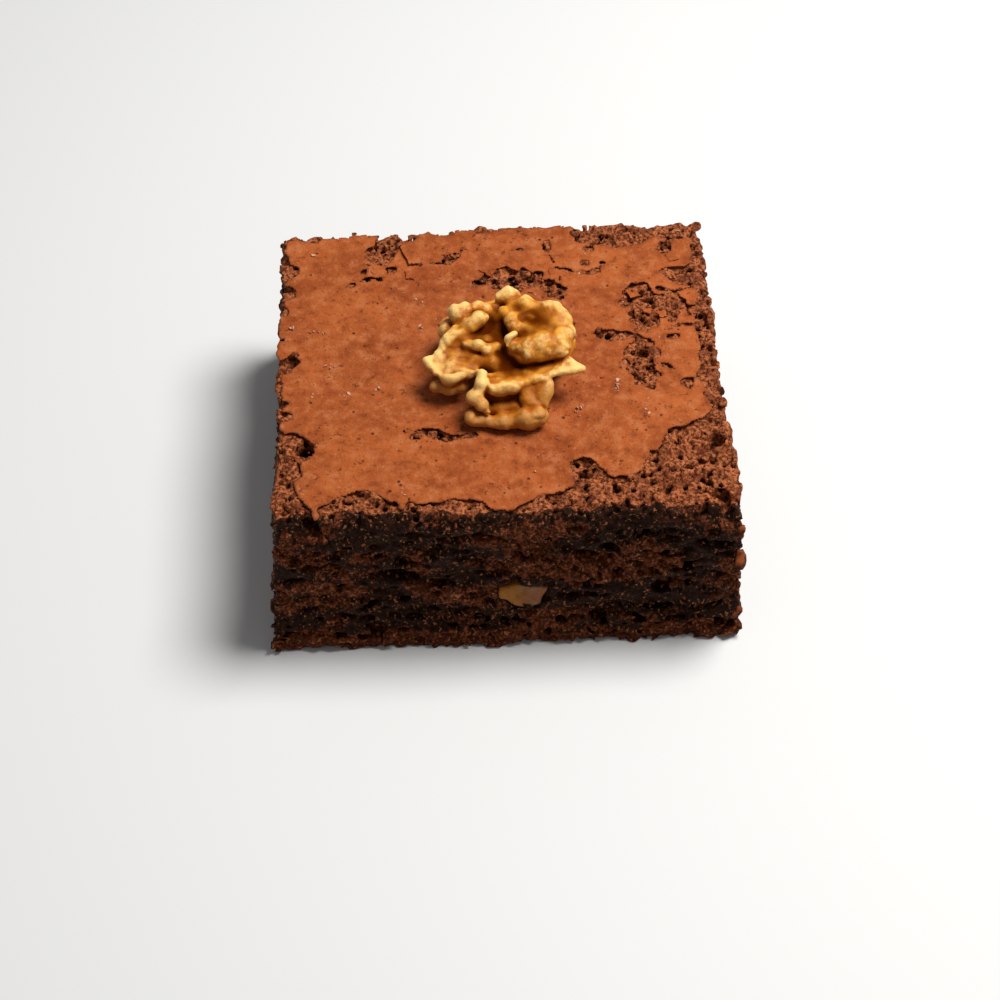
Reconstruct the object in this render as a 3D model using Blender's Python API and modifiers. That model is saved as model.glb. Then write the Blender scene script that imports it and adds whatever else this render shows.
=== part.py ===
"""A square of chocolate brownie, with a walnut half on top and a walnut chip in its front face.

Three solids: the cake block, the walnut half that lies on it, and the chip that sits in a pocket of
the front cut. The origin is the middle of the flat base, +X runs along the longer side, the front
cut faces -Y and +Z is up. Everything is in metres.
"""

import math

import bmesh
import bpy
from mathutils import Vector, noise

# The block
TOP_WIDTH = 0.0720
TOP_DEPTH = 0.0649
HEIGHT = 0.0304
SIDE_FLARE = 0.00215      # the base is this much wider than the top, on each side
FRONT_FLARE = 0.00130
CORNER_RISE = {("left", "back"): -0.0003, ("right", "back"): 0.0005,
               ("left", "front"): 0.0003, ("right", "front"): -0.0005}
CELLS_ACROSS = 34
CELLS_DEEP = 30
CELLS_HIGH = 14
CORNER_ROUNDING = 0.0006

# The torn rim, where the papery crust has come away from the crumb
RIM_FRONT = 0.0052
RIM_SIDE = 0.0030
RIM_DROP = 0.0009
RIM_RAGGEDNESS = 0.0022
EDGE_ROUNDING = 0.0011
TOP_WAVE = 0.0003

# The cut sides, with layers that stand out and hollows between them
LAYER_DEPTH = 0.0007
LAYER_LENGTH = 0.0110
LAYER_THICKNESS = 0.0032
HOLLOWS = (               # along the front, up from the base, half length, half height, depth
    (-0.0290, 0.0262, 0.0050, 0.0030, 0.0016),
    (-0.0150, 0.0185, 0.0100, 0.0034, 0.0022),
    (0.0090, 0.0215, 0.0095, 0.0030, 0.0018),
    (0.0210, 0.0160, 0.0080, 0.0034, 0.0020),
    (-0.0240, 0.0100, 0.0070, 0.0030, 0.0015),
    (0.0300, 0.0240, 0.0055, 0.0028, 0.0014),
)

# The pieces of walnut
CLEARANCE = 0.0003        # between the walnut pieces and the cake
CHIP_CENTRE = (0.0025, -0.0314, 0.0110)
CHIP_SIZE = (0.0076, 0.0042, 0.0058)
CHIP_TAPER = 0.30         # how much shorter its lower edge is
CHIP_ROUNDING = 0.0006
SEAT_RADIUS = 0.0150      # the top is smooth under the walnut half
SEAT_CENTRE = (0.0005, -0.0035)
MILLIMETRE = 0.001
WALNUT_VOXEL = 0.00050
WALNUT_SMOOTHING = 2
WALNUT_DETAIL = 0.16      # share of the remeshed triangles that is kept

# Each lobe or ridge of the walnut half runs through points (x, y, height, radius) in millimetres.
# The heights are over the crust it lies on.
WALNUT_RIDGES = {
    "foot": ((-4.9, -12.7, 2.0, 1.9), (0.8, -13.4, 2.0, 2.0), (5.8, -13.6, 2.1, 2.1)),
    "tooth": ((-3.2, -11.2, 3.6, 1.2), (-1.9, -12.8, 2.8, 0.6)),
    "pillar": ((-4.2, -11.6, 2.6, 1.7), (-4.0, -10.4, 3.8, 1.7), (-2.9, -9.5, 6.0, 1.5)),
    "wing": ((-2.3, -10.0, 6.3, 1.3), (1.3, -10.6, 6.4, 1.2), (5.1, -9.4, 6.5, 1.1),
             (9.3, -7.7, 6.4, 0.9), (13.0, -6.6, 6.1, 0.6)),
    "wing root": ((1.2, -7.5, 5.0, 1.7), (6.0, -7.0, 5.0, 1.7), (9.0, -5.5, 5.2, 1.5)),
    "rough wall": ((7.0, -9.6, 4.0, 1.6), (5.0, -11.0, 3.0, 1.5), (7.0, -11.5, 2.2, 1.6)),
    "flange lip": ((-3.8, -7.6, 6.6, 1.0), (-8.4, -7.7, 5.4, 0.8), (-10.6, -6.0, 5.4, 0.8),
                   (-11.7, -3.9, 6.1, 0.8)),
    "flange web": ((-5.5, -5.2, 5.3, 1.1), (-9.2, -4.6, 5.2, 1.0), (-9.4, -2.4, 5.8, 1.1)),
    "flange back": ((-11.0, -3.0, 6.2, 0.9), (-8.8, -0.5, 6.9, 1.3), (-6.5, 0.3, 7.9, 1.5)),
    "lobe below the flange": ((-10.2, -6.5, 3.0, 1.3), (-8.4, -4.6, 3.0, 1.9), (-5.5, -2.5, 3.0, 2.6)),
    "pale knobs": ((-6.7, 4.4, 8.9, 1.5), (-4.9, 3.5, 9.1, 1.5), (-4.8, 0.4, 8.6, 1.5)),
    "middle bump": ((-2.9, 1.1, 9.2, 1.4), (-2.8, 2.2, 8.0, 1.6)),
    "rear crest": ((-2.7, 4.6, 9.5, 1.8), (-0.4, 5.9, 9.2, 1.6), (1.8, 7.2, 9.9, 2.1)),
    "curl": ((2.9, 4.7, 9.4, 1.6), (5.6, 3.9, 9.6, 1.8), (8.6, 2.5, 9.4, 1.9), (10.2, 0.0, 8.6, 2.0),
             (9.6, -2.5, 7.9, 2.2), (7.2, -3.9, 7.8, 2.3), (4.5, -4.3, 8.0, 2.2), (2.6, -4.0, 8.4, 1.6)),
    "curl lip": ((2.6, -4.0, 8.4, 1.4), (1.6, -3.7, 9.0, 0.9)),
    "inner ridge": ((1.2, 3.2, 9.2, 1.4), (2.1, 0.9, 9.4, 1.4), (3.5, -0.5, 8.8, 1.5)),
    "bend ridge": ((-5.8, -2.0, 7.2, 1.4), (-3.7, -2.8, 7.9, 1.3), (-2.1, -4.4, 7.7, 1.3),
                   (-0.9, -5.2, 6.8, 1.3)),
    "middle": ((-3.0, -1.0, 4.6, 3.2), (2.0, -3.0, 4.6, 3.6), (6.0, -1.0, 4.8, 3.9)),
    "rear middle": ((-4.0, 2.5, 4.8, 3.7), (0.0, 3.0, 4.8, 4.0), (5.0, 3.5, 4.9, 3.9)),
    "front middle": ((1.0, -7.0, 3.6, 3.0), (4.0, -9.5, 3.2, 2.5)),
    "rear left rib": ((-7.5, 3.5, 5.5, 2.0), (-6.0, 6.0, 4.0, 2.2), (-3.0, 7.4, 3.0, 2.2)),
    "rear rib": ((-1.0, 7.2, 6.0, 2.2), (2.0, 7.8, 5.0, 2.4), (5.0, 6.8, 4.5, 2.4)),
    "right rib": ((8.0, 5.0, 6.0, 2.3), (9.0, 3.0, 4.0, 2.6), (10.3, 0.0, 4.0, 2.4), (9.8, -3.5, 3.8, 2.2)),
    "underside": ((-5.0, 4.0, 2.4, 2.3), (0.0, 6.0, 2.6, 2.4), (6.0, 4.0, 2.4, 2.3)),
}

# Colours of the materials, as linear red, green and blue
CAKE_COLOUR = (0.16, 0.045, 0.020)
WALNUT_COLOUR = (0.60, 0.29, 0.075)
CHIP_COLOUR = (0.42, 0.24, 0.085)


def clear_scene():
    for thing in list(bpy.data.objects):
        bpy.data.objects.remove(thing, do_unlink=True)


def new_collection(name):
    collection = bpy.data.collections.new(name)
    bpy.context.scene.collection.children.link(collection)
    return collection


def new_material(name, colour, roughness):
    material = bpy.data.materials.new(name)
    material.use_nodes = True
    shader = material.node_tree.nodes["Principled BSDF"]
    shader.inputs["Base Color"].default_value = (*colour, 1.0)
    shader.inputs["Roughness"].default_value = roughness
    shader.inputs["Metallic"].default_value = 0.0
    return material


def object_from_bmesh(name, shape, collection, material=None):
    mesh = bpy.data.meshes.new(name)
    shape.to_mesh(mesh)
    shape.free()
    thing = bpy.data.objects.new(name, mesh)
    collection.objects.link(thing)
    if material is not None:
        mesh.materials.append(material)
    return thing


def mix(low, high, share):
    return low + (high - low) * share


def smooth_step(low, high, value):
    """Rise from 0 at low to 1 at high, with no kink at either end."""
    share = min(max((value - low) / (high - low), 0.0), 1.0)
    return share * share * (3.0 - 2.0 * share)


def grain(x, y, z, size):
    """Smooth noise between about -1 and 1, whose lumps are this size."""
    return noise.noise(Vector((x, y, z)) / size)


def seat_share(x, y):
    """1 outside the walnut half's seat, falling to 0 inside it."""
    distance = math.hypot(x - SEAT_CENTRE[0], y - SEAT_CENTRE[1])
    return smooth_step(SEAT_RADIUS * 0.9, SEAT_RADIUS * 1.2, distance)


def top_level(x, y):
    """Height of the block's top before the torn rim is taken off it."""
    across = x / TOP_WIDTH + 0.5
    back = y / TOP_DEPTH + 0.5
    front_rise = mix(CORNER_RISE["left", "front"], CORNER_RISE["right", "front"], across)
    back_rise = mix(CORNER_RISE["left", "back"], CORNER_RISE["right", "back"], across)
    wave = TOP_WAVE * grain(x, y, 0.0, 0.012) * seat_share(x, y)
    return HEIGHT + mix(front_rise, back_rise, back) + wave


def rim_drop(x, y):
    """How far the torn rim lies below the crust, along the front and the right-hand side."""
    ragged = RIM_RAGGEDNESS * grain(x, y, 0.3, 0.006)
    from_front = y + TOP_DEPTH / 2 + ragged
    from_right = TOP_WIDTH / 2 - x + ragged
    front_share = 1.0 - smooth_step(RIM_FRONT * 0.7, RIM_FRONT, from_front)
    right_share = 1.0 - smooth_step(RIM_SIDE * 0.6, RIM_SIDE, from_right)
    return RIM_DROP * max(front_share, right_share)


def edge_rounding(x, y):
    """How far the top falls away at its outer edges."""
    inset = min(TOP_WIDTH / 2 - abs(x), TOP_DEPTH / 2 - abs(y))
    return EDGE_ROUNDING * (1.0 - smooth_step(0.0, EDGE_ROUNDING * 2.5, inset)) ** 2


def hollow_depth(along, up):
    """Depth of the open hollows of the front cut."""
    depth = 0.0
    for centre, level, half_length, half_height, deepest in HOLLOWS:
        distance = math.hypot((along - centre) / half_length, (up - level) / half_height)
        depth = max(depth, deepest * (1.0 - smooth_step(0.0, 1.0, distance)))
    return depth


def side_depth(x, y, z, share_up):
    """How far a cut side lies inside the block's plain form: nothing at its very foot."""
    layers = grain(x * LAYER_THICKNESS / LAYER_LENGTH, y * LAYER_THICKNESS / LAYER_LENGTH, z, LAYER_THICKNESS)
    foot = smooth_step(0.0, 0.12, share_up)
    return foot * LAYER_DEPTH * (0.6 + 0.6 * layers)


def block_point(across, back, up):
    """Place a point of the unit cube: across and back run from -0.5 to 0.5, up from 0 to 1."""
    x = across * (TOP_WIDTH + 2 * SIDE_FLARE * (1.0 - up))
    y = back * (TOP_DEPTH + 2 * FRONT_FLARE * (1.0 - up))
    top = top_level(x, y) - rim_drop(x, y) - edge_rounding(x, y)
    z = up * top
    depth = side_depth(x, y, z, up)
    if abs(across) > 0.499:
        x -= math.copysign(depth, across)
    if abs(back) > 0.499:
        y -= math.copysign(depth, back)
    if abs(across) > 0.499 and abs(back) > 0.499:
        x -= math.copysign(CORNER_ROUNDING, across)
        y -= math.copysign(CORNER_ROUNDING, back)
    if back < -0.499:
        y += hollow_depth(x, z) * smooth_step(0.0, 0.08, 0.5 - abs(across))
    return Vector((x, y, z))


def edges_along(shape, axis):
    found = []
    for edge in shape.edges:
        run = edge.verts[1].co - edge.verts[0].co
        if abs(run[axis]) > 0.5 * run.length:
            found.append(edge)
    return found


def make_block(collection, material):
    """A cube cut into a grid of cells, with every point moved to its place on the cake."""
    shape = bmesh.new()
    bmesh.ops.create_cube(shape, size=1.0)
    for axis, cells in enumerate((CELLS_ACROSS, CELLS_DEEP, CELLS_HIGH)):
        bmesh.ops.subdivide_edges(shape, edges=edges_along(shape, axis), cuts=cells - 1, use_grid_fill=True)
    base = [face for face in shape.faces if face.normal.z < -0.5]
    bmesh.ops.dissolve_faces(shape, faces=base, use_verts=False)
    for point in shape.verts:
        point.co = block_point(point.co.x, point.co.y, point.co.z + 0.5)
    block = object_from_bmesh("brownie", shape, collection, material)
    block.data.shade_smooth()
    block.data.set_sharp_from_angle(angle=math.radians(50.0))
    return block


def chip_shape(growth):
    """A broken piece of walnut: a box whose lower edge is shorter, grown by this much all round."""
    shape = bmesh.new()
    bmesh.ops.create_cube(shape, size=1.0)
    for point in shape.verts:
        lower = 0.5 - point.co.z
        point.co.x *= 1.0 - CHIP_TAPER * lower
        point.co.x += 0.12 * lower
        point.co.z += 0.10 * point.co.x * lower
        for axis in range(3):
            point.co[axis] *= CHIP_SIZE[axis] + 2 * growth
    bmesh.ops.bevel(shape, geom=list(shape.edges), offset=CHIP_ROUNDING, segments=2, affect="EDGES")
    return shape


def make_chip(collection, material):
    chip = object_from_bmesh("walnut_chip", chip_shape(0.0), collection, material)
    chip.location = CHIP_CENTRE
    chip.data.shade_smooth()
    chip.data.set_sharp_from_angle(angle=math.radians(50.0))
    return chip


def cut_pocket(block, cutters):
    """Cut the chip's pocket into the front of the block."""
    cutter = object_from_bmesh("chip_pocket", chip_shape(CLEARANCE), cutters)
    cutter.location = CHIP_CENTRE
    cutter.display_type = "WIRE"
    cutter.hide_render = True
    cut = block.modifiers.new("pocket", "BOOLEAN")
    cut.operation = "DIFFERENCE"
    cut.object = cutter


def add_ridge(shape, points):
    """Balls strung along a ridge, close enough to melt into one another."""
    for start, end in zip(points[:-1], points[1:]):
        start, end = Vector(start), Vector(end)
        gap = (end.xyz - start.xyz).length
        steps = max(2, math.ceil(gap / (0.4 * min(start.w, end.w))))
        for step in range(steps + 1):
            ball = start.lerp(end, step / steps) * MILLIMETRE
            made = bmesh.ops.create_icosphere(shape, subdivisions=2, radius=ball.w)
            bmesh.ops.translate(shape, verts=made["verts"], vec=ball.xyz)


def seat_height():
    """The highest point of the crust under the walnut half."""
    reach = int(SEAT_RADIUS / MILLIMETRE)
    levels = []
    for right in range(-reach, reach + 1):
        for back in range(-reach, reach + 1):
            x = SEAT_CENTRE[0] + right * MILLIMETRE
            y = SEAT_CENTRE[1] + back * MILLIMETRE
            levels.append(top_level(x, y))
    return max(levels)


def make_walnut(collection, material):
    """The walnut half: all its ridges fused, softened and thinned to a light mesh."""
    shape = bmesh.new()
    for points in WALNUT_RIDGES.values():
        add_ridge(shape, points)
    walnut = object_from_bmesh("walnut_half", shape, collection, material)
    walnut.location = (0.0, 0.0, seat_height() + CLEARANCE)
    fuse = walnut.modifiers.new("fuse", "REMESH")
    fuse.mode = "VOXEL"
    fuse.voxel_size = WALNUT_VOXEL
    soften = walnut.modifiers.new("soften", "SMOOTH")
    soften.factor = 0.5
    soften.iterations = WALNUT_SMOOTHING
    thin = walnut.modifiers.new("thin", "DECIMATE")
    thin.ratio = WALNUT_DETAIL
    return walnut


def build():
    clear_scene()
    parts = new_collection("chocolate_brownie")
    cutters = new_collection("cutters")
    block = make_block(parts, new_material("cake", CAKE_COLOUR, 0.80))
    make_chip(parts, new_material("walnut_chip", CHIP_COLOUR, 0.55))
    make_walnut(parts, new_material("walnut", WALNUT_COLOUR, 0.50))
    cut_pocket(block, cutters)


build()
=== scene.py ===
"""Looks of the chocolate brownie: its crumb, papery crust, walnut half, walnut chip and loose crumbs.

The cake is worked out as a field in a grid, positive inside the crumb, and meshed where it is zero.
The crust is a thin torn sheet over it. Lengths are in millimetres until a mesh is made.
"""

import math

import bmesh
import bpy
import numpy as np
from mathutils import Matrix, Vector


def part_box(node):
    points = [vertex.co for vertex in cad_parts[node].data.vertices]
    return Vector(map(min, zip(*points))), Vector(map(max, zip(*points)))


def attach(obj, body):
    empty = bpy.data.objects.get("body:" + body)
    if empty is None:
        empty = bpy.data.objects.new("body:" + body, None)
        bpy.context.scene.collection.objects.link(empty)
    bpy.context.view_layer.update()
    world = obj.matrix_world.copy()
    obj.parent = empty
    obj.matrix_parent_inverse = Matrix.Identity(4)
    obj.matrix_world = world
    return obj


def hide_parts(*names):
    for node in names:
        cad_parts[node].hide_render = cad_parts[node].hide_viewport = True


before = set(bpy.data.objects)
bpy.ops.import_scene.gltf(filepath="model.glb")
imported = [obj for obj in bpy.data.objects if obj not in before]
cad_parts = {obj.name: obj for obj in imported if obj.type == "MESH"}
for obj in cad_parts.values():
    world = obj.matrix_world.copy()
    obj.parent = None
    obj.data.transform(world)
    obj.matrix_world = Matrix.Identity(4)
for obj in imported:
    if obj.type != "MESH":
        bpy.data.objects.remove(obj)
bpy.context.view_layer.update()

MM = 0.001

# The cake, read from the frame or repeated from the part
cake_low, cake_high = [np.array(corner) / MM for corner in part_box("brownie")]
FOOT_X = float(cake_high[0] - cake_low[0]) / 2
FOOT_Y = float(cake_high[1] - cake_low[1]) / 2
HEIGHT = 30.4
FLARE_X = 2.15
FLARE_Y = 1.30
CORNER_RISE = {"back_left": -0.2, "back_right": 0.8, "front_left": 0.3, "front_right": -0.5}
TOP_X = FOOT_X - FLARE_X
TOP_Y = FOOT_Y - FLARE_Y

CRUMB_STEP = 0.30
CRUMB_TRIANGLES = 190000
CRUST_STEP = 0.26
CRUST_TRIANGLES = 180000
CRUST_THICKNESS = 0.34
WALNUT_TRIANGLES = 150000
WALNUT_STEP = 0.19
CHIP_STEP = 0.16

# The torn outline of the crust, clockwise from above, starting at the back left corner
CRUST_OUTLINE = (
    (-35.6, 32.0), (-33.0, 31.7), (-30.6, 31.4), (-29.8, 32.2), (-25.0, 32.5), (-21.6, 33.0),
    (-19.6, 32.6), (-20.0, 30.6), (-21.4, 28.6), (-21.4, 26.8), (-20.3, 25.4), (-18.8, 24.8),
    (-17.8, 26.4), (-16.5, 29.3), (-15.0, 30.6), (-13.4, 31.2), (-12.6, 32.6), (-11.2, 32.7),
    (-9.6, 31.8), (-7.8, 31.8), (-5.9, 33.0), (-4.0, 33.2), (-1.7, 32.4), (0.0, 32.6),
    (2.0, 33.1), (8.0, 33.3), (14.2, 33.2), (15.2, 29.6),
    (18.3, 28.4), (22.0, 27.7), (26.6, 28.3), (28.8, 28.9), (31.4, 28.4), (34.0, 28.1),
    (34.8, 25.6), (34.4, 22.6), (31.8, 21.8), (29.0, 20.9), (30.7, 18.4), (34.0, 16.6),
    (34.3, 13.5), (33.6, 8.0), (33.9, 3.0), (33.2, -3.0), (33.6, -8.0), (34.4, -11.4),
    (32.8, -12.4), (30.8, -13.3), (29.2, -15.0), (26.6, -15.4), (25.6, -18.5), (23.4, -19.6),
    (23.1, -21.7), (21.8, -23.8), (20.2, -24.7), (17.4, -25.9), (15.9, -24.8), (14.6, -23.0),
    (14.0, -21.7), (12.4, -21.2), (11.1, -21.6), (10.7, -26.0), (9.2, -27.4), (6.0, -28.3),
    (3.6, -28.6), (2.2, -29.8), (0.6, -31.1), (-2.2, -30.3), (-3.6, -29.2), (-5.6, -28.0),
    (-8.9, -28.7), (-10.3, -29.6), (-14.2, -29.6), (-15.2, -28.4), (-16.4, -29.8), (-17.6, -28.4),
    (-19.9, -27.3), (-22.8, -26.5), (-25.2, -27.0), (-27.4, -27.6), (-29.3, -29.3), (-29.8, -31.6),
    (-30.9, -30.1), (-32.7, -27.6), (-33.2, -24.7), (-31.6, -22.8), (-33.4, -20.2), (-35.2, -15.4),
    (-36.0, -12.8), (-36.1, 0.0), (-36.1, 14.0),
)
# Places inside the outline where the crust is gone: x, y, half width, half depth, turn in degrees
CRUST_HOLES = (
    (5.0, 19.6, 5.6, 3.0, -12), (9.2, 18.3, 2.2, 3.0, 20), (-0.6, 20.4, 2.4, 1.3, 10),
    (24.6, 15.0, 3.4, 2.9, -15), (28.6, 12.9, 3.0, 3.3, 10), (25.6, 10.2, 2.0, 1.9, 0),
    (20.6, 5.6, 3.6, 1.1, -6), (24.2, 3.0, 2.5, 3.0, 15), (24.0, -2.6, 3.0, 3.0, -10),
    (27.8, -1.3, 1.2, 0.5, -38), (30.0, 26.8, 1.0, 1.5, -10), (33.7, 11.2, 1.4, 1.3, 0),
    (-34.4, 2.3, 2.2, 2.3, 0), (-35.7, 24.0, 1.4, 1.3, 0), (-35.5, 19.2, 1.4, 1.8, 0),
    (-35.9, 14.6, 0.8, 1.2, 0), (-35.9, 8.0, 0.7, 1.0, 0), (-35.6, -7.2, 0.7, 0.6, 0),
    (-35.1, -10.0, 1.0, 0.8, 0), (-33.9, -14.6, 0.8, 0.8, 0), (-31.8, -17.0, 1.55, 1.5, 0),
    (16.8, 27.3, 0.7, 0.6, 0), (16.1, 23.7, 0.7, 0.5, -30), (4.9, 27.6, 0.9, 0.45, 0),
    (29.8, 5.4, 0.9, 0.6, 20), (31.2, -5.6, 0.9, 0.9, 0), (12.8, 8.6, 0.5, 0.3, 0),
)
# Cracks through the crust: half width, then the points it runs through
CRUST_CRACKS = (
    (0.42, (-15.8, -14.3), (-14.9, -15.2), (-12.9, -14.6), (-10.5, -14.9), (-8.1, -15.8),
     (-5.6, -15.1), (-3.7, -15.2)),
    (0.36, (-26.7, 18.7), (-24.9, 20.1), (-22.8, 21.1), (-21.5, 21.4)),
    (0.32, (-21.0, 21.6), (-19.6, 21.2)), (0.46, (-18.3, 24.2), (-17.6, 23.7), (-18.0, 22.8)),
    (0.36, (-22.6, 23.0), (-21.8, 24.1), (-21.3, 25.0)),
    (0.20, (-12.8, 25.0), (-8.6, 25.0)), (0.50, (-8.2, 25.2), (-7.2, 25.7), (-5.9, 26.8)),
    (0.20, (-5.9, 26.8), (-5.3, 28.2)),
    (0.30, (9.8, 29.5), (9.8, 26.9), (10.8, 23.9)),
    (0.34, (11.0, 23.0), (13.9, 21.6), (15.9, 21.3), (18.3, 22.1), (19.3, 23.3)),
    (0.22, (28.2, 16.8), (30.8, 16.1), (33.9, 16.6)),
    (0.20, (29.0, 7.0), (31.4, 8.2), (33.6, 7.6)),
)
SCRAP_THICKNESS = 0.7 * CRUST_THICKNESS
SCRAP_RAG = 0.09          # how ragged their edges are
# Torn scraps of crust that lie on it: how high, then their corners
CRUST_SCRAPS = (
    (0.34, (-16.0, 29.3), (-14.3, 30.7), (-12.4, 29.4), (-12.0, 26.9), (-12.9, 24.6), (-14.6, 24.6)),
    (0.26, (-21.2, 23.8), (-19.7, 24.3), (-18.4, 23.4), (-18.6, 21.7), (-20.4, 21.9)),
    (0.22, (-15.2, 23.2), (-13.4, 23.1), (-13.6, 21.0), (-15.0, 21.3)),
    (0.10, (-2.6, 22.9), (-1.2, 23.9), (0.6, 22.7), (-0.4, 21.2)),
    (0.05, (9.6, 22.4), (11.6, 22.0), (11.9, 20.2), (9.9, 19.9)),
    (0.05, (22.6, 16.6), (24.2, 17.0), (25.0, 15.4), (23.4, 14.8)),
    (0.05, (27.4, 11.2), (28.8, 11.8), (29.4, 10.2), (28.0, 9.8)),
    (0.20, (30.2, 24.9), (31.8, 25.3), (32.4, 23.6), (30.8, 23.2)),
)

# Open hollows of the front cut: x, height, half length, half height, depth
FRONT_HOLLOWS = (
    (-16.6, 16.6, 4.4, 1.6, 2.4), (-10.6, 15.2, 3.4, 1.0, 1.8), (-33.0, 17.6, 2.6, 0.7, 1.4),
    (-31.8, 27.6, 1.6, 1.9, 2.2), (-22.6, 9.6, 2.0, 0.9, 1.3), (-2.0, 17.2, 2.2, 0.7, 1.4),
    (-15.5, 26.2, 2.6, 0.6, 1.0), (-9.6, 25.4, 3.4, 0.7, 1.1), (-3.6, 26.2, 3.6, 0.6, 1.0),
    (3.6, 20.6, 3.4, 0.9, 1.4), (13.2, 20.0, 3.6, 1.2, 1.8), (18.6, 15.4, 2.8, 2.0, 2.2),
    (22.6, 25.6, 3.0, 0.8, 1.4), (32.4, 22.6, 3.6, 1.1, 2.0), (11.8, 14.6, 2.6, 0.8, 1.4),
    (-1.6, 10.6, 1.4, 1.4, 1.4), (-27.6, 20.0, 2.0, 0.6, 1.1), (26.6, 29.4, 1.6, 0.8, 1.2),
    (34.4, 28.6, 1.3, 1.4, 1.6), (0.5, 4.8, 1.6, 1.0, 1.0), (29.0, 12.2, 1.2, 0.9, 1.2),
)
# Crumbly places that stand out between its smeared layers: x, height, half length, half height, how far
FRONT_LUMPS = (
    (-30.8, 27.2, 2.6, 1.6, 0.9), (-22.6, 22.2, 3.4, 1.6, 0.8), (-15.6, 20.4, 2.0, 1.0, 0.8),
    (-25.6, 13.2, 2.0, 1.7, 0.8), (-10.6, 11.6, 5.0, 1.5, 0.6), (-4.0, 13.6, 3.0, 1.6, 0.6),
    (12.4, 13.8, 4.4, 1.0, 1.0), (25.6, 18.6, 4.6, 3.4, 0.8), (27.6, 12.8, 3.0, 1.6, 0.8),
    (6.4, 17.0, 2.4, 0.9, 0.6), (35.2, 17.0, 1.5, 2.6, 0.5), (-35.0, 24.4, 1.6, 4.0, 0.4),
    (-28.6, 6.6, 2.6, 1.2, 0.5), (-35.6, 12.0, 1.2, 5.0, 0.3), (20.6, 23.2, 2.6, 0.7, 0.4),
)
# Flakes that stand out past the right-hand edge: y, height, size
EDGE_FLAKES = (
    (-33.0, 25.6, 1.3), (-32.4, 23.4, 0.8), (-33.2, 18.6, 1.5), (-32.6, 17.2, 1.0), (-33.4, 5.2, 1.2),
    (-33.2, 12.0, 0.8), (-30.2, 27.6, 0.9), (-27.0, 24.0, 0.9), (-24.0, 27.0, 0.8), (-20.0, 28.4, 0.8),
    (-12.0, 28.0, 0.7), (-6.0, 29.0, 0.7), (3.0, 28.6, 0.7), (9.0, 29.2, 0.6), (20.0, 29.0, 0.7),
)
# Groups of pale specks on the crust: x, y, spread, count, largest size
SPECK_GROUPS = (
    (0.0, 0.0, 17.0, 60, 0.20), (-31.4, 28.3, 0.2, 3, 0.45), (-35.0, 10.4, 0.3, 4, 0.5),
    (-31.0, 9.2, 0.15, 3, 0.3), (-30.2, 9.1, 0.15, 3, 0.3), (-29.2, 9.0, 0.15, 3, 0.3),
    (-27.4, 1.1, 0.5, 4, 0.35), (-30.8, -4.9, 0.6, 5, 0.3), (-26.2, -5.2, 0.7, 6, 0.3),
    (-31.8, -13.3, 0.5, 4, 0.35), (-20.0, -4.0, 0.7, 5, 0.32), (-16.0, -27.0, 0.5, 4, 0.3),
    (19.2, -5.4, 0.7, 8, 0.42), (13.0, -10.0, 0.6, 6, 0.36), (24.0, -10.6, 1.0, 6, 0.28),
    (9.0, -18.6, 1.4, 5, 0.24), (33.0, 30.6, 0.3, 2, 0.5), (26.8, 2.0, 1.6, 7, 0.3),
    (-13.0, 9.0, 0.7, 4, 0.3), (-12.6, 15.0, 0.5, 4, 0.36),
)
SIDE_OUT = 0.15           # the crumb's mean surface over the plain cut, as its pits are below it
RIGHT_OUT = 0.50          # how much further the right side stands out
BACK_OUT = 0.75           # and the back
FOOT_OUT = 0.9            # how far the front spreads at its foot
SKIRT_HEIGHT = 9.0        # where that spread ends
RIM_LEAN = 0.9            # how far the front falls back at its top edge
RIM_SOFTNESS = 0.9        # how rounded the top edge is
FUDGE_SMOOTHNESS = 0.60   # how much less relief pure fudge has than crumb
VOID_RARITY = 1.40        # higher means fewer bubbles inside
VOID_DEPTH = 1.4          # how deep under the surface they are cut
COVER_BAND = (0.15, 0.9)  # how far inside the torn edge the crust starts and fully covers the crumb
SMEAR_REACH = (3.0, 6.0)  # how far behind the front its smeared look fades out
BARE_DROP = 0.22          # how far bare crumb lies under the crust
# Deep holes in the bare top: x, y, height, then half sizes
DEEP_HOLES = (
    (-31.8, -17.0, 29.8, 1.6, 1.6, 2.4), (-34.6, 2.8, 29.6, 1.5, 1.3, 1.2),
    (-31.0, -30.6, 28.6, 1.3, 1.3, 1.6), (34.4, -17.5, 29.4, 1.5, 1.5, 1.7),
    (29.5, -22.8, 29.4, 0.9, 0.8, 1.2), (17.3, -30.5, 29.4, 0.8, 0.7, 1.3),
    (19.1, -30.6, 29.4, 0.7, 0.6, 1.2), (34.0, -28.5, 29.0, 1.5, 1.2, 1.4),
    (12.7, -23.7, 29.6, 1.2, 0.8, 1.4), (17.6, -27.1, 29.4, 0.8, 0.7, 1.1),
    (31.0, -31.1, 28.6, 1.0, 0.7, 1.2), (23.4, -25.6, 29.4, 0.8, 0.7, 1.1),
    (24.0, 2.4, 29.9, 0.9, 1.1, 0.9), (26.0, 14.6, 30.0, 1.2, 0.7, 0.8),
    (6.4, 20.6, 30.0, 0.9, 0.5, 0.8), (2.4, 20.4, 30.0, 0.7, 0.4, 0.7),
    (8.8, 16.6, 30.0, 0.9, 1.0, 0.9), (28.8, 11.8, 30.0, 0.7, 0.6, 0.7),
)
BASE_CRUST = 3.6          # height of the redder band at the foot
# The walnut chip: its outline in the front cut (x, height), and how far back it runs
CHIP_OUTLINE = ((-1.3, 13.7), (1.5, 14.0), (6.4, 12.5), (5.2, 8.8), (3.6, 7.8), (0.9, 9.4), (-1.3, 11.2))
CHIP_FRONT = -33.75
CHIP_BACK = -29.8
CHIP_GAP = 0.25
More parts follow.
